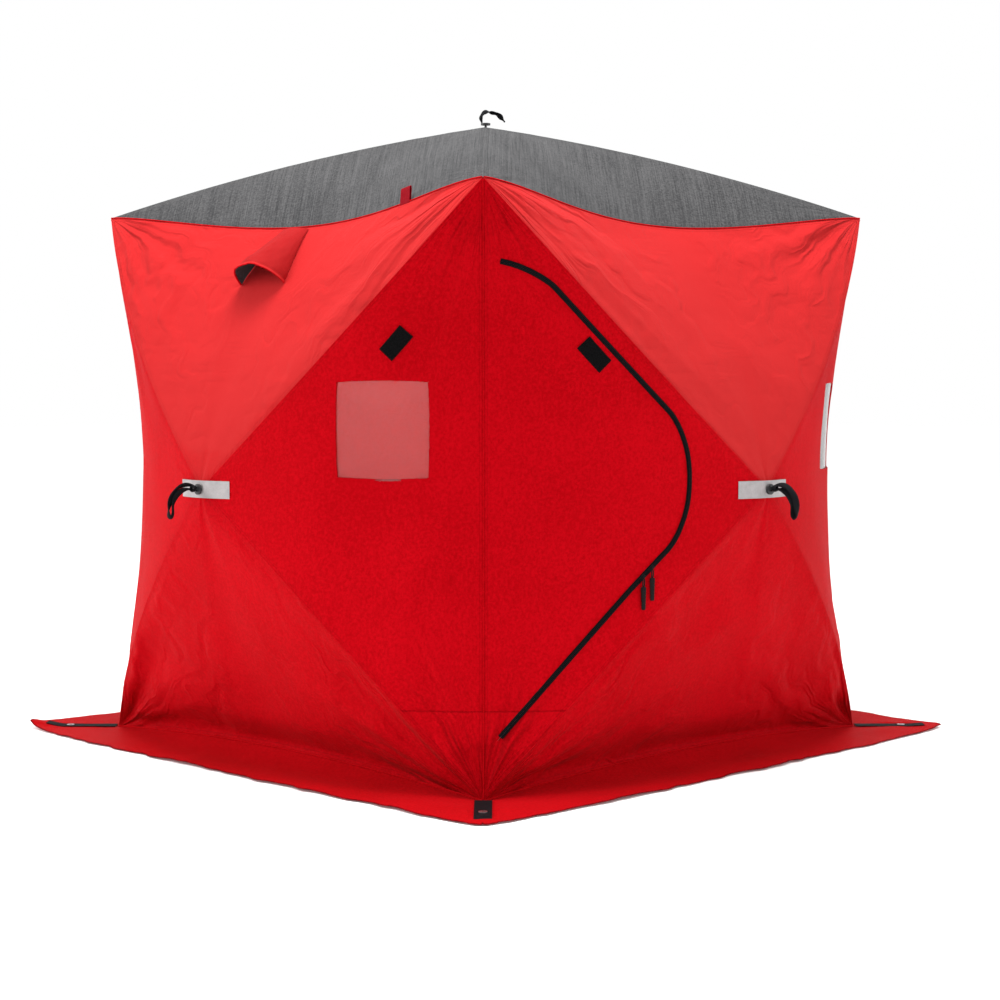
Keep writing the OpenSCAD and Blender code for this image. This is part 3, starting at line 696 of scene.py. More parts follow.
def door_loop(inset):
    """The door outline moved in (+) or out (-) by inset, closed along the hinge."""
    line = door_line(DOOR_HINGE_S, 90, 40)
    k = np.linspace(0, 1, 40)[1:-1]
    hinge = np.stack([np.full(len(k), DOOR_HINGE_S), mix(line[-1, 1], line[0, 1], k)], -1)
    s, t = np.concatenate([line, hinge]).T
    loop = np.stack([s, (t - 0.5) * s], -1) * DOOR_FLAT
    # the sign of its area says which way the outline runs, and so which side is inward
    x, y = loop.T
    turn = np.sign(np.sum(x * np.roll(y, -1) - np.roll(x, -1) * y))
    tangent = unit(np.roll(loop, -1, 0) - np.roll(loop, 1, 0))
    inward = turn * np.stack([-tangent[:, 1], tangent[:, 0]], -1)
    from_hinge = ramp(DOOR_HINGE_S * DOOR_FLAT[0] - loop[:, :1], 0.0, 0.012)
    s, y = ((loop + inward * inset * from_hinge) / DOOR_FLAT).T
    return np.stack([s, y / s + 0.5], -1)


# ---------- ribbons, tubes and small solids ----------
def frames(path, up):
    """Directions along a path, across it and out of it. up is one vector or one for each point."""
    along = unit(np.gradient(path, axis=0))
    up = np.broadcast_to(np.asarray(up, float), path.shape)
    across = unit(np.cross(up, along))
    return along, across, np.cross(along, across)


def smooth_path(points, n):
    """n points evenly along a Catmull-Rom curve."""
    p = np.asarray(points, float)
    q = np.concatenate([[2 * p[0] - p[1]], p, [2 * p[-1] - p[-2]]])
    out = []
    for i in range(1, len(q) - 2):
        for u in np.linspace(0, 1, 24, endpoint=False):
            out.append(0.5 * (2 * q[i] + (q[i + 1] - q[i - 1]) * u
                              + (2 * q[i - 1] - 5 * q[i] + 4 * q[i + 1] - q[i + 2]) * u ** 2
                              + (3 * q[i] - q[i - 1] - 3 * q[i + 1] + q[i + 2]) * u ** 3))
    out.append(p[-1])
    out = np.array(out)
    run = np.concatenate([[0], np.cumsum(np.linalg.norm(np.diff(out, axis=0), axis=1))])
    at = np.linspace(0, run[-1], n)
    return np.stack([np.interp(at, run, out[:, k]) for k in range(3)], -1), run[-1]


def sweep(path, across, out, profile, run=None):
    """A profile of (across, out) pairs, or one for each point, carried along a path.
    Returns points, faces and cloth coordinates, whose first is the length run so far."""
    prof = np.asarray(profile, float)
    n, m = len(path), prof.shape[-2]
    prof = np.broadcast_to(prof, (n, m, 2))
    pts = path[:, None] + across[:, None] * prof[..., :1] + out[:, None] * prof[..., 1:]
    ends = [tuple(range(m)), tuple(range((n - 1) * m, n * m))[::-1]]
    faces = grid_faces(n, m, flip=True, close=True) + ends
    if run is None:
        run = np.concatenate([[0], np.cumsum(np.linalg.norm(np.diff(path, axis=0), axis=1))])
    cloth = stack3(run[:, None], prof[..., 0], prof[..., 1])
    return pts.reshape(-1, 3), faces, cloth.reshape(-1, 3)


def ribbon_profile(width, thick):
    w, h = width / 2, thick / 2
    r = min(h * 0.9, w * 0.3)
    x = np.linspace(w - r, -w + r, 7)
    return [(w, 0.0)] + [(a, h) for a in x] + [(-w, 0.0)] + [(a, -h) for a in x[::-1]]


def round_profile(r, n=10):
    a = np.linspace(0, 2 * math.pi, n, endpoint=False)
    return [(r * math.cos(k), r * math.sin(k)) for k in a]


BOX_FACES = [(0, 1, 3, 2), (4, 6, 7, 5), (0, 4, 5, 1), (2, 3, 7, 6), (0, 2, 6, 4), (1, 5, 7, 3)]


def boxes(centres, x, y, z, size, taper=1.0):
    """Small blocks at many places. x, y and z are their directions and size their half sizes."""
    out, faces = [], []
    for k, c in enumerate(centres):
        for a in (-1, 1):
            for b in (-1, 1):
                for e in (-1, 1):
                    w = taper if e > 0 else 1
                    out.append(c + x[k] * a * size[0] * w + y[k] * b * size[1] * w + z[k] * e * size[2])
        faces += [tuple(8 * k + i for i in f) for f in BOX_FACES]
    return np.array(out), faces


def rounded_block(size, bevel, segments=3):
    """Points and faces of a block with rounded edges, centred on the origin."""
    bm = bmesh.new()
    bmesh.ops.create_cube(bm, size=1)
    bmesh.ops.scale(bm, vec=Vector(size), verts=bm.verts)
    bmesh.ops.bevel(bm, geom=bm.edges[:], offset=bevel, segments=segments, affect="EDGES", profile=0.5)
    bm.verts.ensure_lookup_table()
    pts = np.array([tuple(v.co) for v in bm.verts])
    faces = [tuple(v.index for v in f.verts) for f in bm.faces]
    bm.free()
    return pts, faces


# ---------- materials ----------
class Nodes:
    """A short way to write a node tree."""

    def __init__(self, name):
        self.mat = bpy.data.materials.new(name)
        self.mat.use_nodes = True
        self.tree = self.mat.node_tree
        self.shader = self.tree.nodes["Principled BSDF"]
        MATERIALS[name] = self.mat

    def add(self, kind, inputs=(), **settings):
        n = self.tree.nodes.new("ShaderNode" + kind)
        for k, v in settings.items():
            setattr(n, k, v)
        for k, v in dict(inputs).items():
            self.set(n.inputs[k], v)
        return n

    def set(self, socket, value):
        if isinstance(value, bpy.types.NodeSocket):
            self.tree.links.new(value, socket)
        else:
            socket.default_value = value

    def math(self, op, a, b=0.0, clamp=False):
        n = self.add("Math", {0: a, 1: b}, operation=op)
        n.use_clamp = clamp
        return n.outputs[0]

    def times(self, a, b):
        return self.math("MULTIPLY", a, b)

    def plus(self, a, b):
        return self.math("ADD", a, b)

    def apart(self, a, b):
        """The size of the difference of two values."""
        return self.math("ABSOLUTE", self.math("SUBTRACT", a, b))

    def split(self, vector):
        return self.add("SeparateXYZ", {0: vector}).outputs

    def join(self, x, y):
        return self.add("CombineXYZ", {0: x, 1: y}).outputs[0]

    def noise(self, vector, scale, detail=2.0, rough=0.5):
        n = self.add("TexNoise", {"Vector": vector, "Scale": scale, "Detail": detail, "Roughness": rough})
        return n.outputs["Fac"]

    def attr(self, name):
        return self.add("Attribute", attribute_name=name).outputs["Vector"]

    def stretch(self, vector, scale, turn=0.0):
        n = self.add("Mapping", {"Vector": vector, "Scale": scale, "Rotation": (0, 0, turn)})
        return n.outputs[0]

    def object_coords(self):
        return self.add("TexCoord").outputs["Object"]

    def span(self, value, low, high, to_low=0.0, to_high=1.0):
        n = self.add("MapRange", {0: value, 1: low, 2: high, 3: to_low, 4: to_high})
        n.clamp = True
        return n.outputs[0]

    def blend(self, a, b, fac):
        n = self.add("Mix", {0: fac}, data_type="RGBA")
        self.set(n.inputs[6], a)
        self.set(n.inputs[7], b)
        return n.outputs[2]

    def bump(self, height, distance, strength=1.0, normal=None):
        inputs = {"Height": height, "Distance": distance, "Strength": strength}
        n = self.add("Bump", inputs)
        if normal is not None:
            self.set(n.inputs["Normal"], normal)
        return n.outputs[0]

    def finish(self, **sockets):
        names = {"color": "Base Color", "rough": "Roughness", "metal": "Metallic", "normal": "Normal",
                 "level": "Specular IOR Level", "tint": "Specular Tint", "sheen": "Sheen Weight",
                 "sheen_rough": "Sheen Roughness", "sheen_tint": "Sheen Tint", "coat": "Coat Weight",
                 "coat_rough": "Coat Roughness"}
        for k, v in sockets.items():
            self.set(self.shader.inputs[names[k]], v)
        return self.mat


def rgb(r, g, b):
    return (r, g, b, 1.0)


def shaded(color, k):
    return rgb(*[min(1, c * k) for c in color[:3]])


def weave_height(n, coords, pitch):
    """Over-and-under threads of a plain weave."""
    waves = [n.math("SINE", n.times(n.split(coords)[k], 2 * math.pi / pitch)) for k in (0, 1)]
    return n.plus(n.times(*waves), 1.0)


def stitch_mask(n, sewn, lines, pitch=0.004, width=0.0007):
    """1 on rows of stitches that run beside the sewn edges."""
    away, along = n.split(sewn)[:2]
    rows = [n.math("LESS_THAN", n.apart(away, at), width) for at in lines]
    mask = rows[0]
    for row in rows[1:]:
        mask = n.math("MAXIMUM", mask, row)
    return n.times(mask, n.math("LESS_THAN", n.math("FRACT", n.math("DIVIDE", along, pitch)), 0.68))


def ridges(n, value):
    """Sharp crests where a noise value crosses its middle."""
    return n.math("SUBTRACT", 1.0, n.times(n.apart(value, 0.5), 3.2), clamp=True)


def fold_bumps(n, at, cloth, depth, normal):
    """Creases along the folds that fan out of the corners, and fine slack ones in patches."""
    across, far, deep = n.split(n.attr("fold"))
    drift = n.times(n.times(n.noise(at, 6.0, 2.0), far), 4.0)
    wide = n.join(n.plus(n.times(across, 4.2), drift), n.times(far, 1.2))
    fine = n.join(n.plus(n.times(across, 9.0), n.times(drift, 2.5)), n.times(far, 3.0))
    big = n.times(n.noise(wide, 1.0, 1.0), 2.2)
    small = n.times(ridges(n, n.noise(fine, 1.0, 1.0)), n.span(n.noise(at, 9.0, 1.0), 0.35, 0.65, 0.15, 1.0))
    height = n.times(n.plus(n.times(big, 0.7), n.times(small, 0.22)), deep)
    normal = n.bump(height, depth, 1.0, normal)
    patch = n.span(n.noise(cloth, 3.5, 1.0), 0.45, 0.7)
    return n.bump(n.times(n.noise(n.stretch(cloth, (30, 4, 1)), 1.0, 2.0), patch), 0.004, 0.8, normal)


def fabric(name, dark, light, rough=0.62, sheen=0.03, sheen_tint=rgb(1, 0.25, 0.22), level=0.02,
           tint=rgb(1, 0.12, 0.10), stitches=(0.0045, 0.0125), streaks=0.0, weave=0.0024, bump=0.00035,
           painted_top_light=None, folds=0.0):
    n = Nodes(name)
    cloth, at = n.attr("cloth"), n.object_coords()
    value = n.plus(n.times(n.noise(at, 125, 2.0, 0.6), 0.75), n.times(n.noise(at, 3.2, 2.0), 0.25))
    if streaks:
        # a Mapping scales before it turns, so the turn is a Mapping of its own
        slanted = n.stretch(n.stretch(at, (1, 1, 1), -math.pi / 4), (1.8, 330, 5.0))
        value = n.plus(n.times(value, 1 - streaks), n.times(n.noise(slanted, 1.0, 2.0, 0.6), streaks))
    color = n.blend(dark, light, n.span(value, 0.39, 0.61))
    # painted light: up-facing parts of the top gores are blended toward a lighter, pinker red, as light from above
    # falls on them
    if painted_top_light:
        up = n.split(n.add("NewGeometry").outputs["Normal"])[2]
        on_top = n.math("LESS_THAN", n.apart(n.split(cloth)[2], float(TOP)), 0.5)
        color = n.blend(color, painted_top_light, n.times(on_top, n.span(up, 0.05, 0.25, 0.0, 0.9)))
    heights = n.plus(n.times(weave_height(n, cloth, weave), 0.35), n.times(n.noise(at, 75, 3.0, 0.6), 1.3))
    normal = n.bump(heights, bump, 0.8)
    if folds:
        normal = fold_bumps(n, at, cloth, folds, normal)
    if stitches:
        sewn = n.attr("sewn")
        mask = stitch_mask(n, sewn, stitches)
        color = n.blend(color, shaded(dark, 0.45), n.times(mask, 0.4))
        normal = n.bump(mask, -0.0006, 0.8, normal)
        line = n.span(n.math("ABSOLUTE", n.split(sewn)[2]), 0.0008, 0.0030, 1.0, 0.0)
        color = n.blend(color, shaded(dark, 0.35), n.times(line, 0.45))
        normal = n.bump(line, -0.0015, 0.8, normal)
    n.finish(color=color, rough=rough, normal=normal, level=level, tint=tint, sheen=sheen,
             sheen_rough=0.45, sheen_tint=sheen_tint)


def webbing(name, dark, light, rough=0.55):
    """A woven band with a chevron along its middle."""
    n = Nodes(name)
    run, across = n.split(n.attr("cloth"))[:2]
    slant = n.math("ABSOLUTE", n.times(across, 2 * math.pi / 0.0042))
    chevron = n.math("SINE", n.plus(n.times(run, 2 * math.pi / 0.0032), slant))
    height = n.plus(n.times(chevron, 0.5), n.noise(n.object_coords(), 900, 2.0))
    color = n.blend(dark, light, n.span(height, 0.0, 1.3))
    n.finish(color=color, rough=rough, level=0.02, normal=n.bump(height, 0.0004, 0.8))


def plain(name, color, rough, grain=0.0, grain_scale=400.0, **more):
    n = Nodes(name)
    if grain:
        f = n.noise(n.object_coords(), grain_scale, 3.0)
        dark, light = shaded(color, 1 - grain), shaded(color, 1 + grain)
        more["normal"] = n.bump(f, 0.00025, 0.6)
        n.finish(color=n.blend(dark, light, n.span(f, 0.3, 0.7)), rough=rough, **more)
    else:
        n.finish(color=color, rough=rough, **more)


def make_materials():
    # a lighter, pinker red painted on the up-facing top gores as light from above
    painted_top_light = rgb(0.345, 0.0150, 0.0155)
    fabric("red_shell", rgb(0.30, 0.0008, 0.0030), rgb(0.39, 0.0014, 0.0050), painted_top_light=painted_top_light, folds=0.034)
    fabric("red_skirt", rgb(0.30, 0.0008, 0.0025), rgb(0.39, 0.0014, 0.0045), stitches=())
    fabric("red_flap", rgb(0.66, 0.006, 0.007), rgb(0.78, 0.010, 0.011), stitches=(), bump=0.00002)
    fabric("grey_shell", rgb(0.022, 0.022, 0.023), rgb(0.064, 0.063, 0.064), streaks=0.42,
           sheen=0.02, sheen_tint=rgb(1, 1, 1), tint=rgb(1, 1, 1), level=0.02, folds=0.007)
    fabric("lining", rgb(0.030, 0.031, 0.034), rgb(0.058, 0.060, 0.065), sheen=0.1,
           sheen_tint=rgb(1, 1, 1), tint=rgb(1, 1, 1), level=0.2, weave=0.006, bump=0.0007)
    webbing("black_web", rgb(0.003, 0.003, 0.0035), rgb(0.014, 0.014, 0.016))
    webbing("red_web", rgb(0.15, 0.0015, 0.005), rgb(0.24, 0.003, 0.009))
    webbing("zip_cloth", rgb(0.002, 0.002, 0.0025), rgb(0.009, 0.009, 0.010), 0.75)
    plain("zip_teeth", rgb(0.003, 0.003, 0.0035), 0.5, level=0.10)
    plain("rubber", rgb(0.006, 0.004, 0.004), 0.5, 0.3, 700, level=0.08)
    plain("hub_black", rgb(0.012, 0.012, 0.013), 0.45, 0.3, 500, level=0.45)
    plain("pole_black", rgb(0.014, 0.014, 0.016), 0.32, 0.2, 300, level=0.5, coat=0.3, coat_rough=0.2)
    plain("steel", rgb(0.55, 0.55, 0.56), 0.3, 0.1, 300, metal=1.0)
    # a darker red for the hem tube along the skirt's edge: partly the hem's own colour, partly painted shadow under
    # the edge
    plain("hem_and_painted_shadow", rgb(0.14, 0.0012, 0.003), 0.8, 0.5, 60, level=0.02)
    n = Nodes("reflective")
    at = n.attr("cloth")
    cells = n.add("TexVoronoi", {"Vector": at, "Scale": 520.0}).outputs["Distance"]
    cloudy = n.noise(at, 38, 3.0)
    shade = n.span(n.plus(n.times(cells, 0.25), n.times(cloudy, 0.75)), 0.25, 0.65)
    n.finish(color=n.blend(rgb(0.22, 0.205, 0.205), rgb(0.31, 0.29, 0.29), shade), rough=0.5,
             metal=0.0, level=0.2, normal=n.bump(n.noise(at, 60, 2.0), 0.0008, 0.5))
    n = Nodes("hook_fuzz")
    at = n.object_coords()
    tufts = n.add("TexVoronoi", {"Vector": at, "Scale": 620.0}).outputs["Distance"]
    n.finish(color=n.blend(rgb(0.010, 0.010, 0.011), rgb(0.002, 0.002, 0.002), n.span(tufts, 0.1, 0.6)),
             rough=0.9, level=0.02, normal=n.bump(tufts, -0.0012, 0.9))
    n = Nodes("vinyl")
    at = n.attr("cloth")
    wave = n.plus(n.noise(n.stretch(at, (5, 9, 1), 0.7), 1.0, 2.0), n.times(n.noise(at, 12, 1.0), 0.10))
    haze = n.add("BsdfDiffuse", {"Color": rgb(0.75, 0.45, 0.45), "Roughness": 0.0})
    through = n.add("BsdfTransparent", {"Color": rgb(0.93, 0.93, 0.93)})
    gloss = n.add("BsdfGlossy", {"Color": rgb(1, 1, 1), "Roughness": 0.10})
    bent = n.bump(wave, 0.004, 0.35)
    n.set(gloss.inputs["Normal"], bent)
    rim = n.add("Fresnel", {"IOR": 1.3, "Normal": bent}).outputs[0]
    body = n.add("MixShader", {0: 0.05, 1: through.outputs[0], 2: haze.outputs[0]})
    skin_mix = n.add("MixShader", {0: rim, 1: body.outputs[0], 2: gloss.outputs[0]})
    n.tree.links.new(skin_mix.outputs[0], n.tree.nodes["Material Output"].inputs["Surface"])


make_materials()


# ---------- walls and roof ----------
def build_wall(wall):
    cuts = {RIGHT_SIDE: [window_loop()]}
    if wall in ("left", "right"):
        cuts[TOP] = [vent_loop()]
    if wall == "front":
        cuts[LEFT_SIDE] = [door_loop(-DOOR_CUT)]
    parts = Parts()
    for g in (TOP, BOTTOM, RIGHT_SIDE, LEFT_SIDE):
        add_gore(parts, wall, g, cuts.get(g, ()))
    nodes = ["front_wall", "front_wall_doorway"] if wall == "front" else [wall + "_wall"]
    obj = parts.make(wall + "_wall_fabric", ["red_shell", "lining"], "red_fabric", replaces=nodes)
    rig.sheet(obj, flat=(1.95, 2.0), held="stretched", rests_on=[wall + "_poles", wall + "_hub"],
             area=min(3.89, area_of(obj)))


def build_roof():
    parts = Parts()
    for wall in WALLS:
        add_gore(parts, wall, ROOF)
    obj = parts.make("roof_fabric", ["grey_shell", "lining"], "grey_fabric", replaces=["roof"])
    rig.sheet(obj, flat=(1.84, 1.84), held="stretched", rests_on=["roof_poles", "roof_hub"],
             area=min(3.38, area_of(obj)))


for wall in WALLS:
    build_wall(wall)
build_roof()


def build_piping():
    """Piping in the seams: each has its gore, the share left free at its ends, a shift, a radius and a way up."""
    parts = Parts()
    for turn in WALLS.values():
        for g, end, shift, radius, up in ((TOP, 0.002, (0, -0.001, 0.0005), 0.0018, (0.3, 0.2, 1.0)),
                                          (LEFT_SIDE, 0.003, (0, 0, 0), 0.0018, (1, 0.4, 0)),
                                          (BOTTOM, 0.002, (0, 0.0005, 0.0012), 0.0042, (0.3, 0.2, 1.0))):
            path = turned(skin(g, 1.0, np.linspace(end, 1 - end, 90)) + np.array(shift), turn)
            pts, faces, cloth = sweep(path, *frames(path, up)[1:], round_profile(radius, 8))
            parts.add(pts, faces, 0, cloth=cloth, sewn=np.ones((len(pts), 3)))
    parts.make("seam_piping", ["red_skirt"], "red_fabric")


build_piping()


# ---------- skirt ----------
def skirt_height(x, y, k, edge_z):
    """Height of the skirt's upper face, which comes off the wall's seam and lies on the ground in low waves."""
    lay = np.clip(k / 0.55, 0, 1)
    z = mix(edge_z, 0.0045, 1 - (1 - lay) ** 2.2)
    wave = 0.5 + 0.5 * noise(x * 5.2 + 3, y * 5.2 + 1, 301)
    fine = 0.5 + 0.5 * noise(x * 17, y * 17, 302)
    z = z + (0.0065 * wave + 0.0022 * fine) * ramp(k, 0.12, 0.6)
    diag = (np.abs(x) + np.abs(y)) / math.sqrt(2)
    on_mitre = np.exp(-((np.abs(np.abs(x) - np.abs(y)) / 0.05) ** 2))
    curl = np.where(x < 0, np.where(y > 0, CORNER_CURL[135], CORNER_CURL[225]),
                    np.where(y > 0, CORNER_CURL[45], CORNER_CURL[315])) * ramp(diag, *CURL_RUN)
    z = z + curl * (0.35 + 0.65 * on_mitre)
    return np.minimum(z, np.where(on_mitre > 0.3, 0.0066 + curl, 1.0))


def build_skirt(wall):
    n_t, n_k = (200, 22) if FINE else (90, 12)
    t = spread(0.0, 1.0, n_t, 0.6)[:, None]
    k = np.linspace(0, 1, n_k)[None, :]
    inner = skin(BOTTOM, 1.0, t[:, 0]) - np.array([0, 0.0005, 0.0005])
    which = list(WALLS).index(wall)
    ragged = 0.0055 * noise(t * 21, 4.0, 310 + which) + 0.008 * noise(t * 46, 9.0, 320 + which)
    rim = ragged * np.sin(math.pi * t) ** 0.4
    w = mix(SKIRT_CORNER_W, SKIRT_W, bow(t) ** CORNER_BLUNT) + (rim - 0.004) * k
    x = inner[:, :1] * (1 + k * w / HALF_BASE)
    world = turned(stack3(x, mix(inner[:, 1:2], -(HALF_BASE + w), k), 0.0), WALLS[wall])
    world[..., 2] = skirt_height(world[..., 0], world[..., 1], k + 0 * x, inner[:, 2:3])
    up = np.broadcast_to([0.0, 0, 1], world.shape)
    parts = Parts().sheet(world, up, grid_faces(n_t, n_k, True), SKIRT_T * 0.8, one_material=True,
                          cloth=stack3(t * 2.0, k * 0.25, 0.0), sewn=np.ones_like(world))
    obj = parts.make("skirt_" + wall + "_fabric", ["red_skirt"], "red_fabric", replaces=["skirt_" + wall])
    # a hem tube along the skirt's outer edge, whose darker colour is partly painted shadow under the edge
    edge = world[:, -1] - np.array([0, 0, 0.0012])
    profile = [(a * 0.0028, b * 0.0018) for a, b in round_profile(1, 8)]
    pts, faces, cloth = sweep(edge, *frames(edge, (0, 0, 1))[1:], profile)
    hem = Parts().add(pts, faces, 0, cloth=cloth, sewn=np.ones((len(pts), 3)))
    hem = hem.make("skirt_" + wall + "_hem", ["hem_and_painted_shadow"], "red_fabric")
    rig.sheet(obj, flat=(2.29, 0.27), held="laid", rests_on=[wall + "_wall_fabric"],
             area=0.53, with_pieces=[hem])


for wall in WALLS:
    build_skirt(wall)


# ---------- windows ----------
def build_window(wall):
    grow = 0.010
    n = 44 if FINE else 20
    s = np.linspace(WINDOW_IN_S - grow / HALF_BASE, WINDOW_OUT_S + grow / HALF_BASE, n)[:, None]
    z = np.linspace(WINDOW_LOW - grow, WINDOW_HIGH + grow, n)[None, :]
    t = t_at_height(s, z)
    s = s + 0 * z
    p, nrm = skin(RIGHT_SIDE, s, t), skin_normal(RIGHT_SIDE, s, t)
    u = (s - WINDOW_IN_S) / (WINDOW_OUT_S - WINDOW_IN_S)
    v = (z - WINDOW_LOW) / (WINDOW_HIGH - WINDOW_LOW) + 0 * s
    edge = np.clip(np.minimum(np.minimum(u, 1 - u), np.minimum(v, 1 - v)) / 0.25, 0, 1)
    seed = 400 + 10 * list(WALLS).index(wall)
    # creases run up and across in the outer upper corner, and down to the inner lower one
    upper = ramp(u * 0.6 + v, 0.55, 1.2)
    crease = 1 - 2.2 * np.abs(noise((u * 0.75 + v) * 1.54, (u - v * 0.6) * 9, seed) * upper)
    low = np.exp(-(((v - 0.34 + 0.42 * (1 - u) - 0.10) / 0.02) ** 2)) * ramp(1 - u, 0.25, 0.5)
    cover_h = 0.0016 * crease * upper + 0.0012 * noise(u * 3, v * 3, seed + 1) - 0.002 * low
    pane_h = 0.0007 * noise(u * 2.2 + 3, v * 2.6, seed + 2) * edge
    faces = grid_faces(n, n, FACING[RIGHT_SIDE] < 0)
    normals = turned(nrm, WALLS[wall])

    def layer(depth, thick, **options):
        return Parts().sheet(turned(p - nrm * depth[..., None], WALLS[wall]), normals, faces, thick,
                             cloth=stack3(u * 0.3, v * 0.27, 0.0), **options)

    cover = layer(FABRIC_T + 0.0032 + 0.004 * edge - cover_h, 0.0018, sewn=np.ones_like(p))
    cover = cover.make(wall + "_window_flap", ["red_flap", "lining"], "red_fabric",
                       replaces=[wall + "_window_cover"])
    pane = layer(FABRIC_T + 0.0008 + 0.0012 * edge - pane_h, 0.0006, one_material=True)
    pane.make(wall + "_window_pane", ["vinyl"], "clear_vinyl", replaces=[wall + "_window"])
    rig.sheet(cover, flat=(0.31, 0.292), held="stretched", rests_on=[wall + "_wall_fabric"])


for wall in WALLS:
    build_window(wall)


# ---------- vent hoods ----------
def build_hood(wall):
    n_k, n_r = 26, 48
    k = np.linspace(0, 1, n_k)[:, None]
    r = np.linspace(0, math.pi, n_r)[None, :]
    normal = skin_normal(TOP, VENT_MOUTH_S, VENT_T)
    s = mix(VENT_MOUTH_S, VENT_BACK_S, k) + 0 * r
    s = s + 0.012 * np.sin(r) * (1 - k)
    crumple = 1 + 0.05 * noise(k * 5 + 2, r * 2.1, 511) + 0.035 * noise(k * 11, r * 5, 512)
    w = mix(0.100, 0.060, k)
    rise = mix(0.090, 0.014, k)
    lift = 0.0019 + np.sin(r) * rise * crumple
    t = VENT_T + np.cos(r) * w * (1 + 0.02 * noise(k * 7, r * 3, 513)) / (1.791 * s)
    base = skin(TOP, s, t)
    h = relief(wall, TOP, s, t, base) * (np.abs(np.cos(r)) > 0.97)
    pts = base + normal * (lift + h)[..., None]
    out = unit(np.cross(np.gradient(pts, axis=1), np.gradient(pts, axis=0)))
    middle = pts.mean((0, 1))
    if ((pts[5, n_r // 2] - middle) @ out[5, n_r // 2]) < 0:
        out = -out
    turn = WALLS[wall]
    faces = grid_faces(n_k, n_r)
    a, b, c = [pts.reshape(-1, 3)[i] for i in faces[n_r * 3][:3]]
    if np.cross(b - a, c - a) @ out.reshape(-1, 3)[faces[n_r * 3][0]] < 0:
        faces = [f[::-1] for f in faces]
    run = stack3(k * 0.22, r * 0.06, 0 * s)
    parts = Parts().sheet(turned(pts, turn), turned(out, turn), faces, 0.0022, cloth=run, sewn=run)
    mouth = turned(pts[0], turn)
    q, f, cloth = sweep(mouth, *frames(mouth, turned(out[0], turn))[1:], ribbon_profile(0.010, 0.0042))
    parts.add(q, f, 0, cloth=cloth, sewn=np.ones((len(q), 3)))
    parts.make(wall + "_vent_hood_fabric", ["red_shell", "lining"], "red_fabric",
               replaces=[wall + "_vent_hood"])


for wall in ("left", "right"):
    build_hood(wall)


# ---------- bands that lie on the fabric ----------
def band(wall, g, stations, width=0.050, thick=0.0022, lift=0.0006, n=24):
    """A flat band on the fabric along stations, its lower face lift above it."""
    st = np.asarray(stations, float)
    x = np.linspace(0, len(st) - 1, n)
    s, t = [np.interp(x, range(len(st)), st[:, k]) for k in (0, 1)]
    p, nrm = on_cloth(wall, g, s, t, lift + thick / 2)
    pts, faces, cloth = sweep(p, *frames(p, nrm)[1:], ribbon_profile(width, thick))
    return Parts().add(pts, faces, 0, cloth=cloth, sewn=np.ones((len(pts), 3)))


def build_trim():
    patch = band("left", RIGHT_SIDE, [[0.739, 0.8525], [0.667, 0.833]])
    patch.make("wall_hook_patch_fuzz", ["hook_fuzz"], "hook_and_loop", replaces=["wall_hook_patch"])
    patch = band("front", LEFT_SIDE, [[0.66, 0.868], [0.585, 0.849]])
    patch.make("door_hook_patch_fuzz", ["hook_fuzz"], "hook_and_loop", body="door",
               replaces=["door_hook_patch"])
    parts = Parts()
    for wall in ("left", "right"):
        a, b, base = [turned(skin(ROOF, 1.0, k)[None], WALLS[wall])[0] for k in (0.780, 0.790, 0.785)]
        way = unit(b - a)
        up = unit(np.array([0, 0, 1.0]) - 0.3 * base / np.linalg.norm(base))
        k = np.array([-0.10, 0.2, 0.5, 0.8, 0.97, 1.0, 0.97, 0.8, 0.5, 0.2, -0.10])
        off = np.array([-1, -1.2, -1.1, -1.2, -0.8, 0, 0.8, 1.2, 1.1, 1.2, 1]) * 0.0022
        path, _ = smooth_path(base + up * (k * 0.046)[:, None] + np.cross(way, up) * off[:, None], 40)
        up_way = np.cross(np.gradient(path, axis=0), way)
        q, f, c = sweep(path, *frames(path, up_way)[1:], ribbon_profile(0.052, 0.0016))
        parts.add(q, f, 0, cloth=c)
    parts.make("seam_tab_loops", ["red_web"], "red_webbing", replaces=["seam_tabs"])


build_trim()


def build_strips():
    parts = Parts()
    for turn in WALLS.values():
        n = 30
        x = np.linspace(-0.115, 0.115, n)
        s = np.abs(x) / HALF_BASE
        y = WALL_PEAK[1] - 0.0025 + np.maximum(0, s * HUB_OUT - POLE_OUT_BOW * bow(s) - 0.004)
        y = y - 0.0012 * noise(x * 30 + turn, 1.0, 610)
        rows = np.linspace(-0.026, 0.026, 12)
        pts = stack3(x[:, None], y[:, None], HUB_H + rows[None])
        pts[..., 1] -= 0.0010 * noise(x[:, None] * 22, rows[None] * 40 + turn, 611)
        pts[..., 1] += 0.0022 * ((rows / 0.026) ** 2)[None] * np.exp(-((x / 0.03) ** 2))[:, None]
        normal = unit(np.cross(np.gradient(pts, axis=0), np.gradient(pts, axis=1)))
        parts.sheet(turned(pts, turn), turned(normal, turn), grid_faces(n, 12), 0.0008, one_material=True,
                    cloth=stack3(x[:, None], rows[None], turn * 0.01))
    parts.make("hub_strips_tape", ["reflective"], "reflective_tape", replaces=["hub_reflective_strips"])


build_strips()


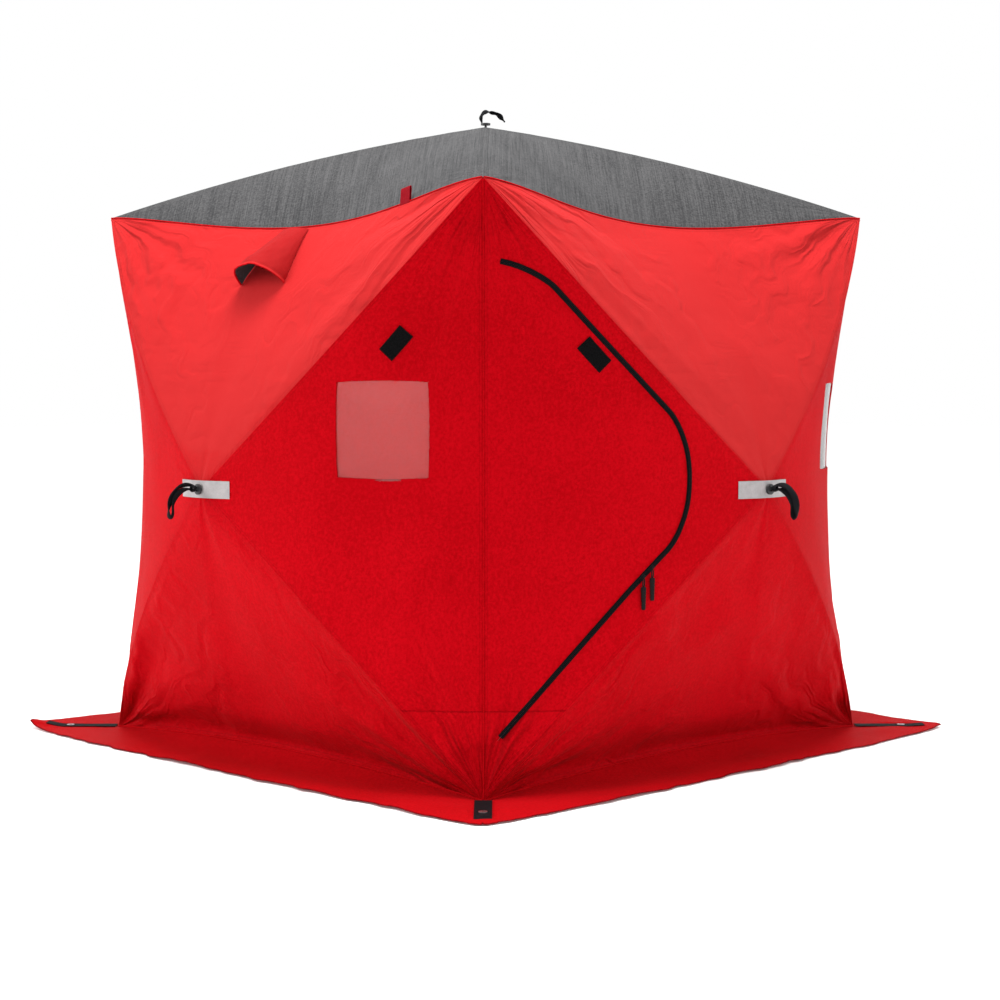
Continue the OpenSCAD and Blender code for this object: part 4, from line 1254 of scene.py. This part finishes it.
# ---------- pull straps ----------
def loop_strap(origin, u, v, points, width, twist=0.9):
    """Webbing along points of the plane u, v, turning about its own line as it goes."""
    pts = np.array([origin + u * a + v * b for a, b in points])
    path, length = smooth_path(pts, 96)
    side = np.cross(u, v)
    along = unit(np.gradient(path, axis=0))
    flat = unit(np.cross(along, side))
    k = np.linspace(0, 1, len(path))
    angle = twist * np.sin(k * math.pi * 2.0) + 0.35 * np.sin(k * 21)
    across = side * np.cos(angle)[:, None] + flat * np.sin(angle)[:, None]
    out = np.cross(along, across)
    pinch = 0.45 + 0.55 * ramp(k, 0.02, 0.16) * ramp(1 - k, 0.02, 0.16)
    prof = [[(x * p, y * (1.25 - 0.25 * p) + 0.0022 * p * ((x / (width / 2)) ** 2))
             for x, y in ribbon_profile(width, 0.0036)] for p in pinch]
    pts, faces, cloth = sweep(path, across, out, prof, k * length)
    return Parts().add(pts, faces, 0, cloth=cloth)


def knot(parts, centre, axis, radius, width):
    """A few turns of webbing around a strap's neck."""
    axis = unit(np.asarray(axis, float))
    x = unit(np.cross(axis, [0.3, 0.5, 0.8]))
    y = np.cross(axis, x)
    a = np.linspace(0, 2 * math.pi * 2.2, 60)
    path = centre + radius * (np.cos(a)[:, None] * x * 1.15 + np.sin(a)[:, None] * y * 0.9) \
        + axis * ((a / a[-1] - 0.5) * width)[:, None]
    pts, faces, cloth = sweep(path, *frames(path, unit(path - centre))[1:], ribbon_profile(0.009, 0.0026))
    parts.add(pts, faces, 0, cloth=cloth)


# centre lines of the loops, outward from the hub and upward
PULL = [(0.0005, 0.004), (0.014, 0.012), (0.034, 0.015), (0.056, 0.008), (0.074, -0.014), (0.084, -0.046),
        (0.086, -0.074), (0.078, -0.084), (0.071, -0.072), (0.070, -0.044), (0.060, -0.018), (0.044, -0.004),
        (0.026, 0.000), (0.012, 0.000), (0.0005, -0.005)]
ROOF_PULL = [(-0.013, 0.001), (-0.0165, 0.022), (-0.002, 0.0385), (0.022, 0.036), (0.040, 0.031),
             (0.054, 0.018), (0.065, 0.004)]
STRAP_LEAN = {"front": 10, "left": -24, "back": 12, "right": -14}     # degrees each loop hangs to one side


def build_pulls():
    up = np.array([0, 0, 1.0])
    for wall, turn in WALLS.items():
        out_way = turned([[0, -1, 0]], turn)[0]
        start = turned([WALL_PEAK], turn)[0] + out_way * 0.0130
        lean = turned([[0, -1, 0]], turn + STRAP_LEAN[wall])[0]
        parts = loop_strap(start, lean, up, PULL, 0.020)
        knot(parts, start + out_way * 0.014 + up * 0.003, out_way, 0.0085, 0.010)
        parts.make(wall + "_pull_loop", ["black_web"], "black_webbing", replaces=[wall + "_pull_strap"])
    toward_door = np.array([1.0, -1.0, 0]) / math.sqrt(2)
    parts = loop_strap(ROOF_PEAK + up * 0.0126, toward_door, up, ROOF_PULL, 0.018)
    parts.make("roof_pull_loop", ["black_web"], "black_webbing", replaces=["roof_pull_strap"])


build_pulls()


# ---------- anchor straps ----------
def build_anchors():
    """A strap out of each corner of the hut, over the skirt, with a hole for its metal eye."""
    parts = Parts()
    corner = HALF_BASE * math.sqrt(2)
    end = corner + 0.243
    for a, curl in sorted(CORNER_CURL.items()):
        run = np.linspace(corner + 0.008, end, 60)[:, None]
        row = np.linspace(-0.025, 0.025, 14)[None]
        c, s = math.cos(math.radians(a)), math.sin(math.radians(a))
        z = 0.0097 + curl * ramp(run, *CURL_RUN) + 0.0006 * noise(run * 30, row * 60 + a, 700)
        if curl == 0:
            z = z - 0.0035 * ramp(run, end - 0.028, end)
        pts = stack3(c * run - s * row, s * run + c * row, z)
        cloth = stack3(run, row, 0.0)
        middles = [(f, cloth.reshape(-1, 3)[list(f)].mean(0)) for f in grid_faces(60, 14)]
        faces = [f for f, m in middles if math.hypot(m[0] - (corner + ANCHOR_EYE_OUT), m[1]) > 0.0088]
        up = np.broadcast_to([0.0, 0, 1], pts.shape)
        parts.sheet(pts, up, faces, 0.0020, one_material=True, cloth=cloth)
    parts.make("anchor_strap_webbing", ["black_web"], "black_webbing", replaces=["anchor_straps"])


build_anchors()


# ---------- door ----------
def build_door():
    parts = Parts()
    add_gore(parts, "front", LEFT_SIDE, [door_loop(DOOR_CUT)], keep_inside=True)
    flap = parts.make("door_flap", ["red_shell", "lining"], "red_fabric", ride=False, replaces=["door_panel"])
    zips = []
    n = 620 if FINE else 260
    x = np.linspace(0, ZIP_RUN[-1], n)
    s = np.interp(x, ZIP_RUN, ZIP_LINE[:, 0])
    t = np.interp(x, ZIP_RUN, ZIP_LINE[:, 1])
    p, nrm = on_cloth("front", LEFT_SIDE, s, t)
    along, across, _ = frames(p, nrm)
    middle = skin(LEFT_SIDE, 0.62, 0.5)
    if (middle - p[n // 4]) @ across[n // 4] > 0:
        across = -across      # across now points out of the doorway's opening
    teeth_run = np.arange(0.006, ZIP_RUN[-1] - 0.004, 0.0030 if FINE else 0.006)
    # one half's outline, across the fabric and above it
    half = [(0.0004, 0.0012), (0.0004, 0.0046), (0.0016, 0.0052), (0.0034, 0.0050),
            (0.0046, 0.0040), (0.0056, 0.0032), (0.0076, 0.0029), (0.0080, 0.0012)]
    for name, way, shift, ride in (("doorway_zip", 1, 0.0, True), ("door_zip", -1, 0.0015, False)):
        pts, faces, cloth = sweep(p, across, nrm, [(way * a, b) for a, b in half[::way]])
        part = Parts().add(pts, faces, 0, cloth=cloth)
        run = teeth_run + shift
        c, ahead, side, out = [np.stack([np.interp(run, x, v[:, k]) for k in range(3)], -1)
                               for v in (p, along, across, nrm)]
        c = c + side * (way * 0.0022) + out * 0.0052
        pts, faces = boxes(c, ahead, side, out, (0.0009, 0.0024, 0.0007), 0.75)
        part.add(pts, faces, 1, cloth=np.zeros((len(pts), 3)))
        zips.append(part.make(name + "_tape", ["zip_cloth", "zip_teeth"], "zip_tape", ride=ride,
                              replaces=[name]))
    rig.sheet(flap, flat=(0.66, 1.62), held="stretched", rests_on=["front_wall_fabric"],
             area=max(0.33, min(1.06, area_of(flap))))
    hinge_a, hinge_b = (-0.836, -0.896, 0.85), (-0.790, -0.908, 0.85)
    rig.blend(flap, "shelter", "door", start=hinge_a, end=hinge_b)
    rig.blend(zips[1], "shelter", "door", start=hinge_a, end=hinge_b)


build_door()


PULL_TURN = -18.9     # degrees that the pulls face round, with the fabric behind them


def build_sliders():
    body, pulls = Parts(), Parts()
    rot = turned(np.eye(3), PULL_TURN)
    for s in (0.425, 0.455):
        here, ahead = [on_cloth("front", LEFT_SIDE, np.array([a]), door_edge([a], -1), 0.0061)
                       for a in (s, s + 0.01)]
        place, out = here[0][0], here[1][0]
        way = unit(ahead[0][0] - place)
        m = np.stack([way, np.cross(out, way), out])
        pts, faces = rounded_block((0.021, 0.0125, 0.0042), 0.0016)
        pts[:, 1] *= 1 - 0.28 * ramp(pts[:, 0], -0.002, 0.010)
        body.add(place + out * 0.0005 + pts @ m, faces, 0)
        arch = [[-0.006, 0, 0.002], [-0.005, 0, 0.0052], [0, 0, 0.0066], [0.005, 0, 0.0052],
                [0.006, 0, 0.002]]
        path = place + smooth_path(arch, 20)[0] @ m
        q, f, _ = sweep(path, *frames(path, m[1])[1:], round_profile(0.0012, 8))
        body.add(q, f, 0)
        hang = place + np.array([0, -0.003, -0.004])
        # a short loop of cord from the slider to the grip
        cord = [[0.002, -0.002, 0.002], [0.0028, -0.004, -0.008], [0.0022, -0.003, -0.020],
                [0.0, -0.002, -0.0255], [-0.0022, -0.003, -0.020], [-0.0028, -0.004, -0.008], [-0.002, -0.002, 0.002]]
        path = smooth_path(cord, 40)[0]
        q, f, _ = sweep(path, *frames(path, (0, -1, 0.05))[1:], round_profile(0.0019, 8))
        pulls.add(hang + q @ rot, f, 0)
        pts, faces = rounded_block((0.0165, 0.0050, 0.066), 0.0020)
        pts[:, 0] *= 0.72 + 0.28 * ramp(pts[:, 2], -0.036, 0.02)
        pts += np.array([0, -0.0025, -0.056])
        pulls.add(hang + pts @ rot, faces, 0)
        for j in range(6):
            ring, ring_f = rounded_block((0.0148 - 0.0005 * j, 0.0062, 0.0034), 0.0012, 2)
            pulls.add(hang + (ring + np.array([0, -0.0025, -0.036 - 0.0082 * j])) @ rot, ring_f, 0)
    body.make("zip_slider_bodies", ["zip_teeth"], "zip_pull", body="door", replaces=["zip_sliders"])
    pulls.make("zip_slider_pulls", ["rubber"], "zip_pull", body="door")


build_sliders()


# ---------- frame parts keep their CAD shape ----------
def finish_cad(names, material, slot, bevel=0.0):
    for name in names:
        obj = frame["nodes"][name]
        obj.data.materials.clear()
        obj.data.materials.append(MATERIALS[material])
        obj.data.polygons.foreach_set("use_smooth", np.ones(len(obj.data.polygons), bool))
        obj.data.set_sharp_from_angle(angle=math.radians(35))
        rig.slot(obj, slot)
        if bevel:
            mod = obj.modifiers.new("bevel", "BEVEL")
            mod.width, mod.segments, mod.limit_method, mod.angle_limit = bevel, 2, "ANGLE", math.radians(40)
            mod.harden_normals = True


finish_cad([w + "_poles" for w in list(WALLS) + ["roof"]], "pole_black", "pole")
finish_cad([w + "_hub" for w in list(WALLS) + ["roof"]], "hub_black", "hub_plastic", 0.0012)
finish_cad(["top_corner_sockets", "bottom_corner_sockets"], "hub_black", "hub_plastic")
finish_cad(["anchor_grommets"], "steel", "grommet_metal", 0.0004)


# ---------- stage ----------
FLOOR_HALF = 60
LIT_POINT = Vector((0, 0, 0.9))
# place, size of the square and power in watts
LIGHTS = {"left_light": ((-4.6, 3.4, 3.6), 3.2, 255), "right_light": ((3.4, -4.6, 3.6), 3.2, 110),
          "top_light": ((-0.6, -0.6, 6.0), 3.0, 510)}


def build_stage():
    mesh = bpy.data.meshes.new("floor")
    corners = [(x * FLOOR_HALF, y * FLOOR_HALF, 0) for x, y in ((-1, -1), (1, -1), (1, 1), (-1, 1))]
    mesh.from_pydata(corners, [], [(0, 1, 2, 3)])
    floor = bpy.data.objects.new("floor", mesh)
    n = Nodes("floor_pale")
    n.finish(color=rgb(0.93, 0.93, 0.93), rough=0.9, level=0.0)
    n.set(n.shader.inputs["Emission Color"], rgb(1, 1, 1))
    n.set(n.shader.inputs["Emission Strength"], 0.08)
    mesh.materials.append(n.mat)
    bpy.context.scene.collection.objects.link(floor)
    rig.stage(floor)
    world = bpy.data.worlds.new("studio")
    world.use_nodes = True
    background = world.node_tree.nodes["Background"]
    background.inputs["Color"].default_value = rgb(1, 1, 1)
    background.inputs["Strength"].default_value = 1.0
    bpy.context.scene.world = world

    for name, (place, size, power) in LIGHTS.items():
        light = bpy.data.lights.new(name, "AREA")
        light.shape, light.size, light.energy = "SQUARE", size, power
        obj = bpy.data.objects.new(name, light)
        obj.location = place
        obj.rotation_euler = (LIT_POINT - Vector(place)).to_track_quat("-Z", "Y").to_euler()
        bpy.context.scene.collection.objects.link(obj)


def build_camera():
    azimuth, pitch = math.radians(-45.0926), math.radians(3.0013)
    distance, sideways, height, focal_px = 6.7033, 0.04845, 1.13198, 1970.76
    data = bpy.data.cameras.new("camera")
    data.sensor_width = 36.0
    data.lens = focal_px * 36.0 / 1000
    camera = bpy.data.objects.new("camera", data)
    camera.location = (math.sin(azimuth) * distance + math.cos(azimuth) * sideways,
                       -math.cos(azimuth) * distance + math.sin(azimuth) * sideways, height)
    camera.rotation_euler = (math.pi / 2 - pitch, 0, azimuth)
    bpy.context.scene.collection.objects.link(camera)
    bpy.context.scene.camera = camera


build_stage()
build_camera()
bpy.context.scene.view_settings.view_transform = "Standard"
bpy.context.scene.view_settings.look = "None"

with open("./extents.json", "w") as f:
    json.dump({"cad": [list(v) for v in CAD_BOX], "visual": [list(v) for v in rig.bounds()]}, f)
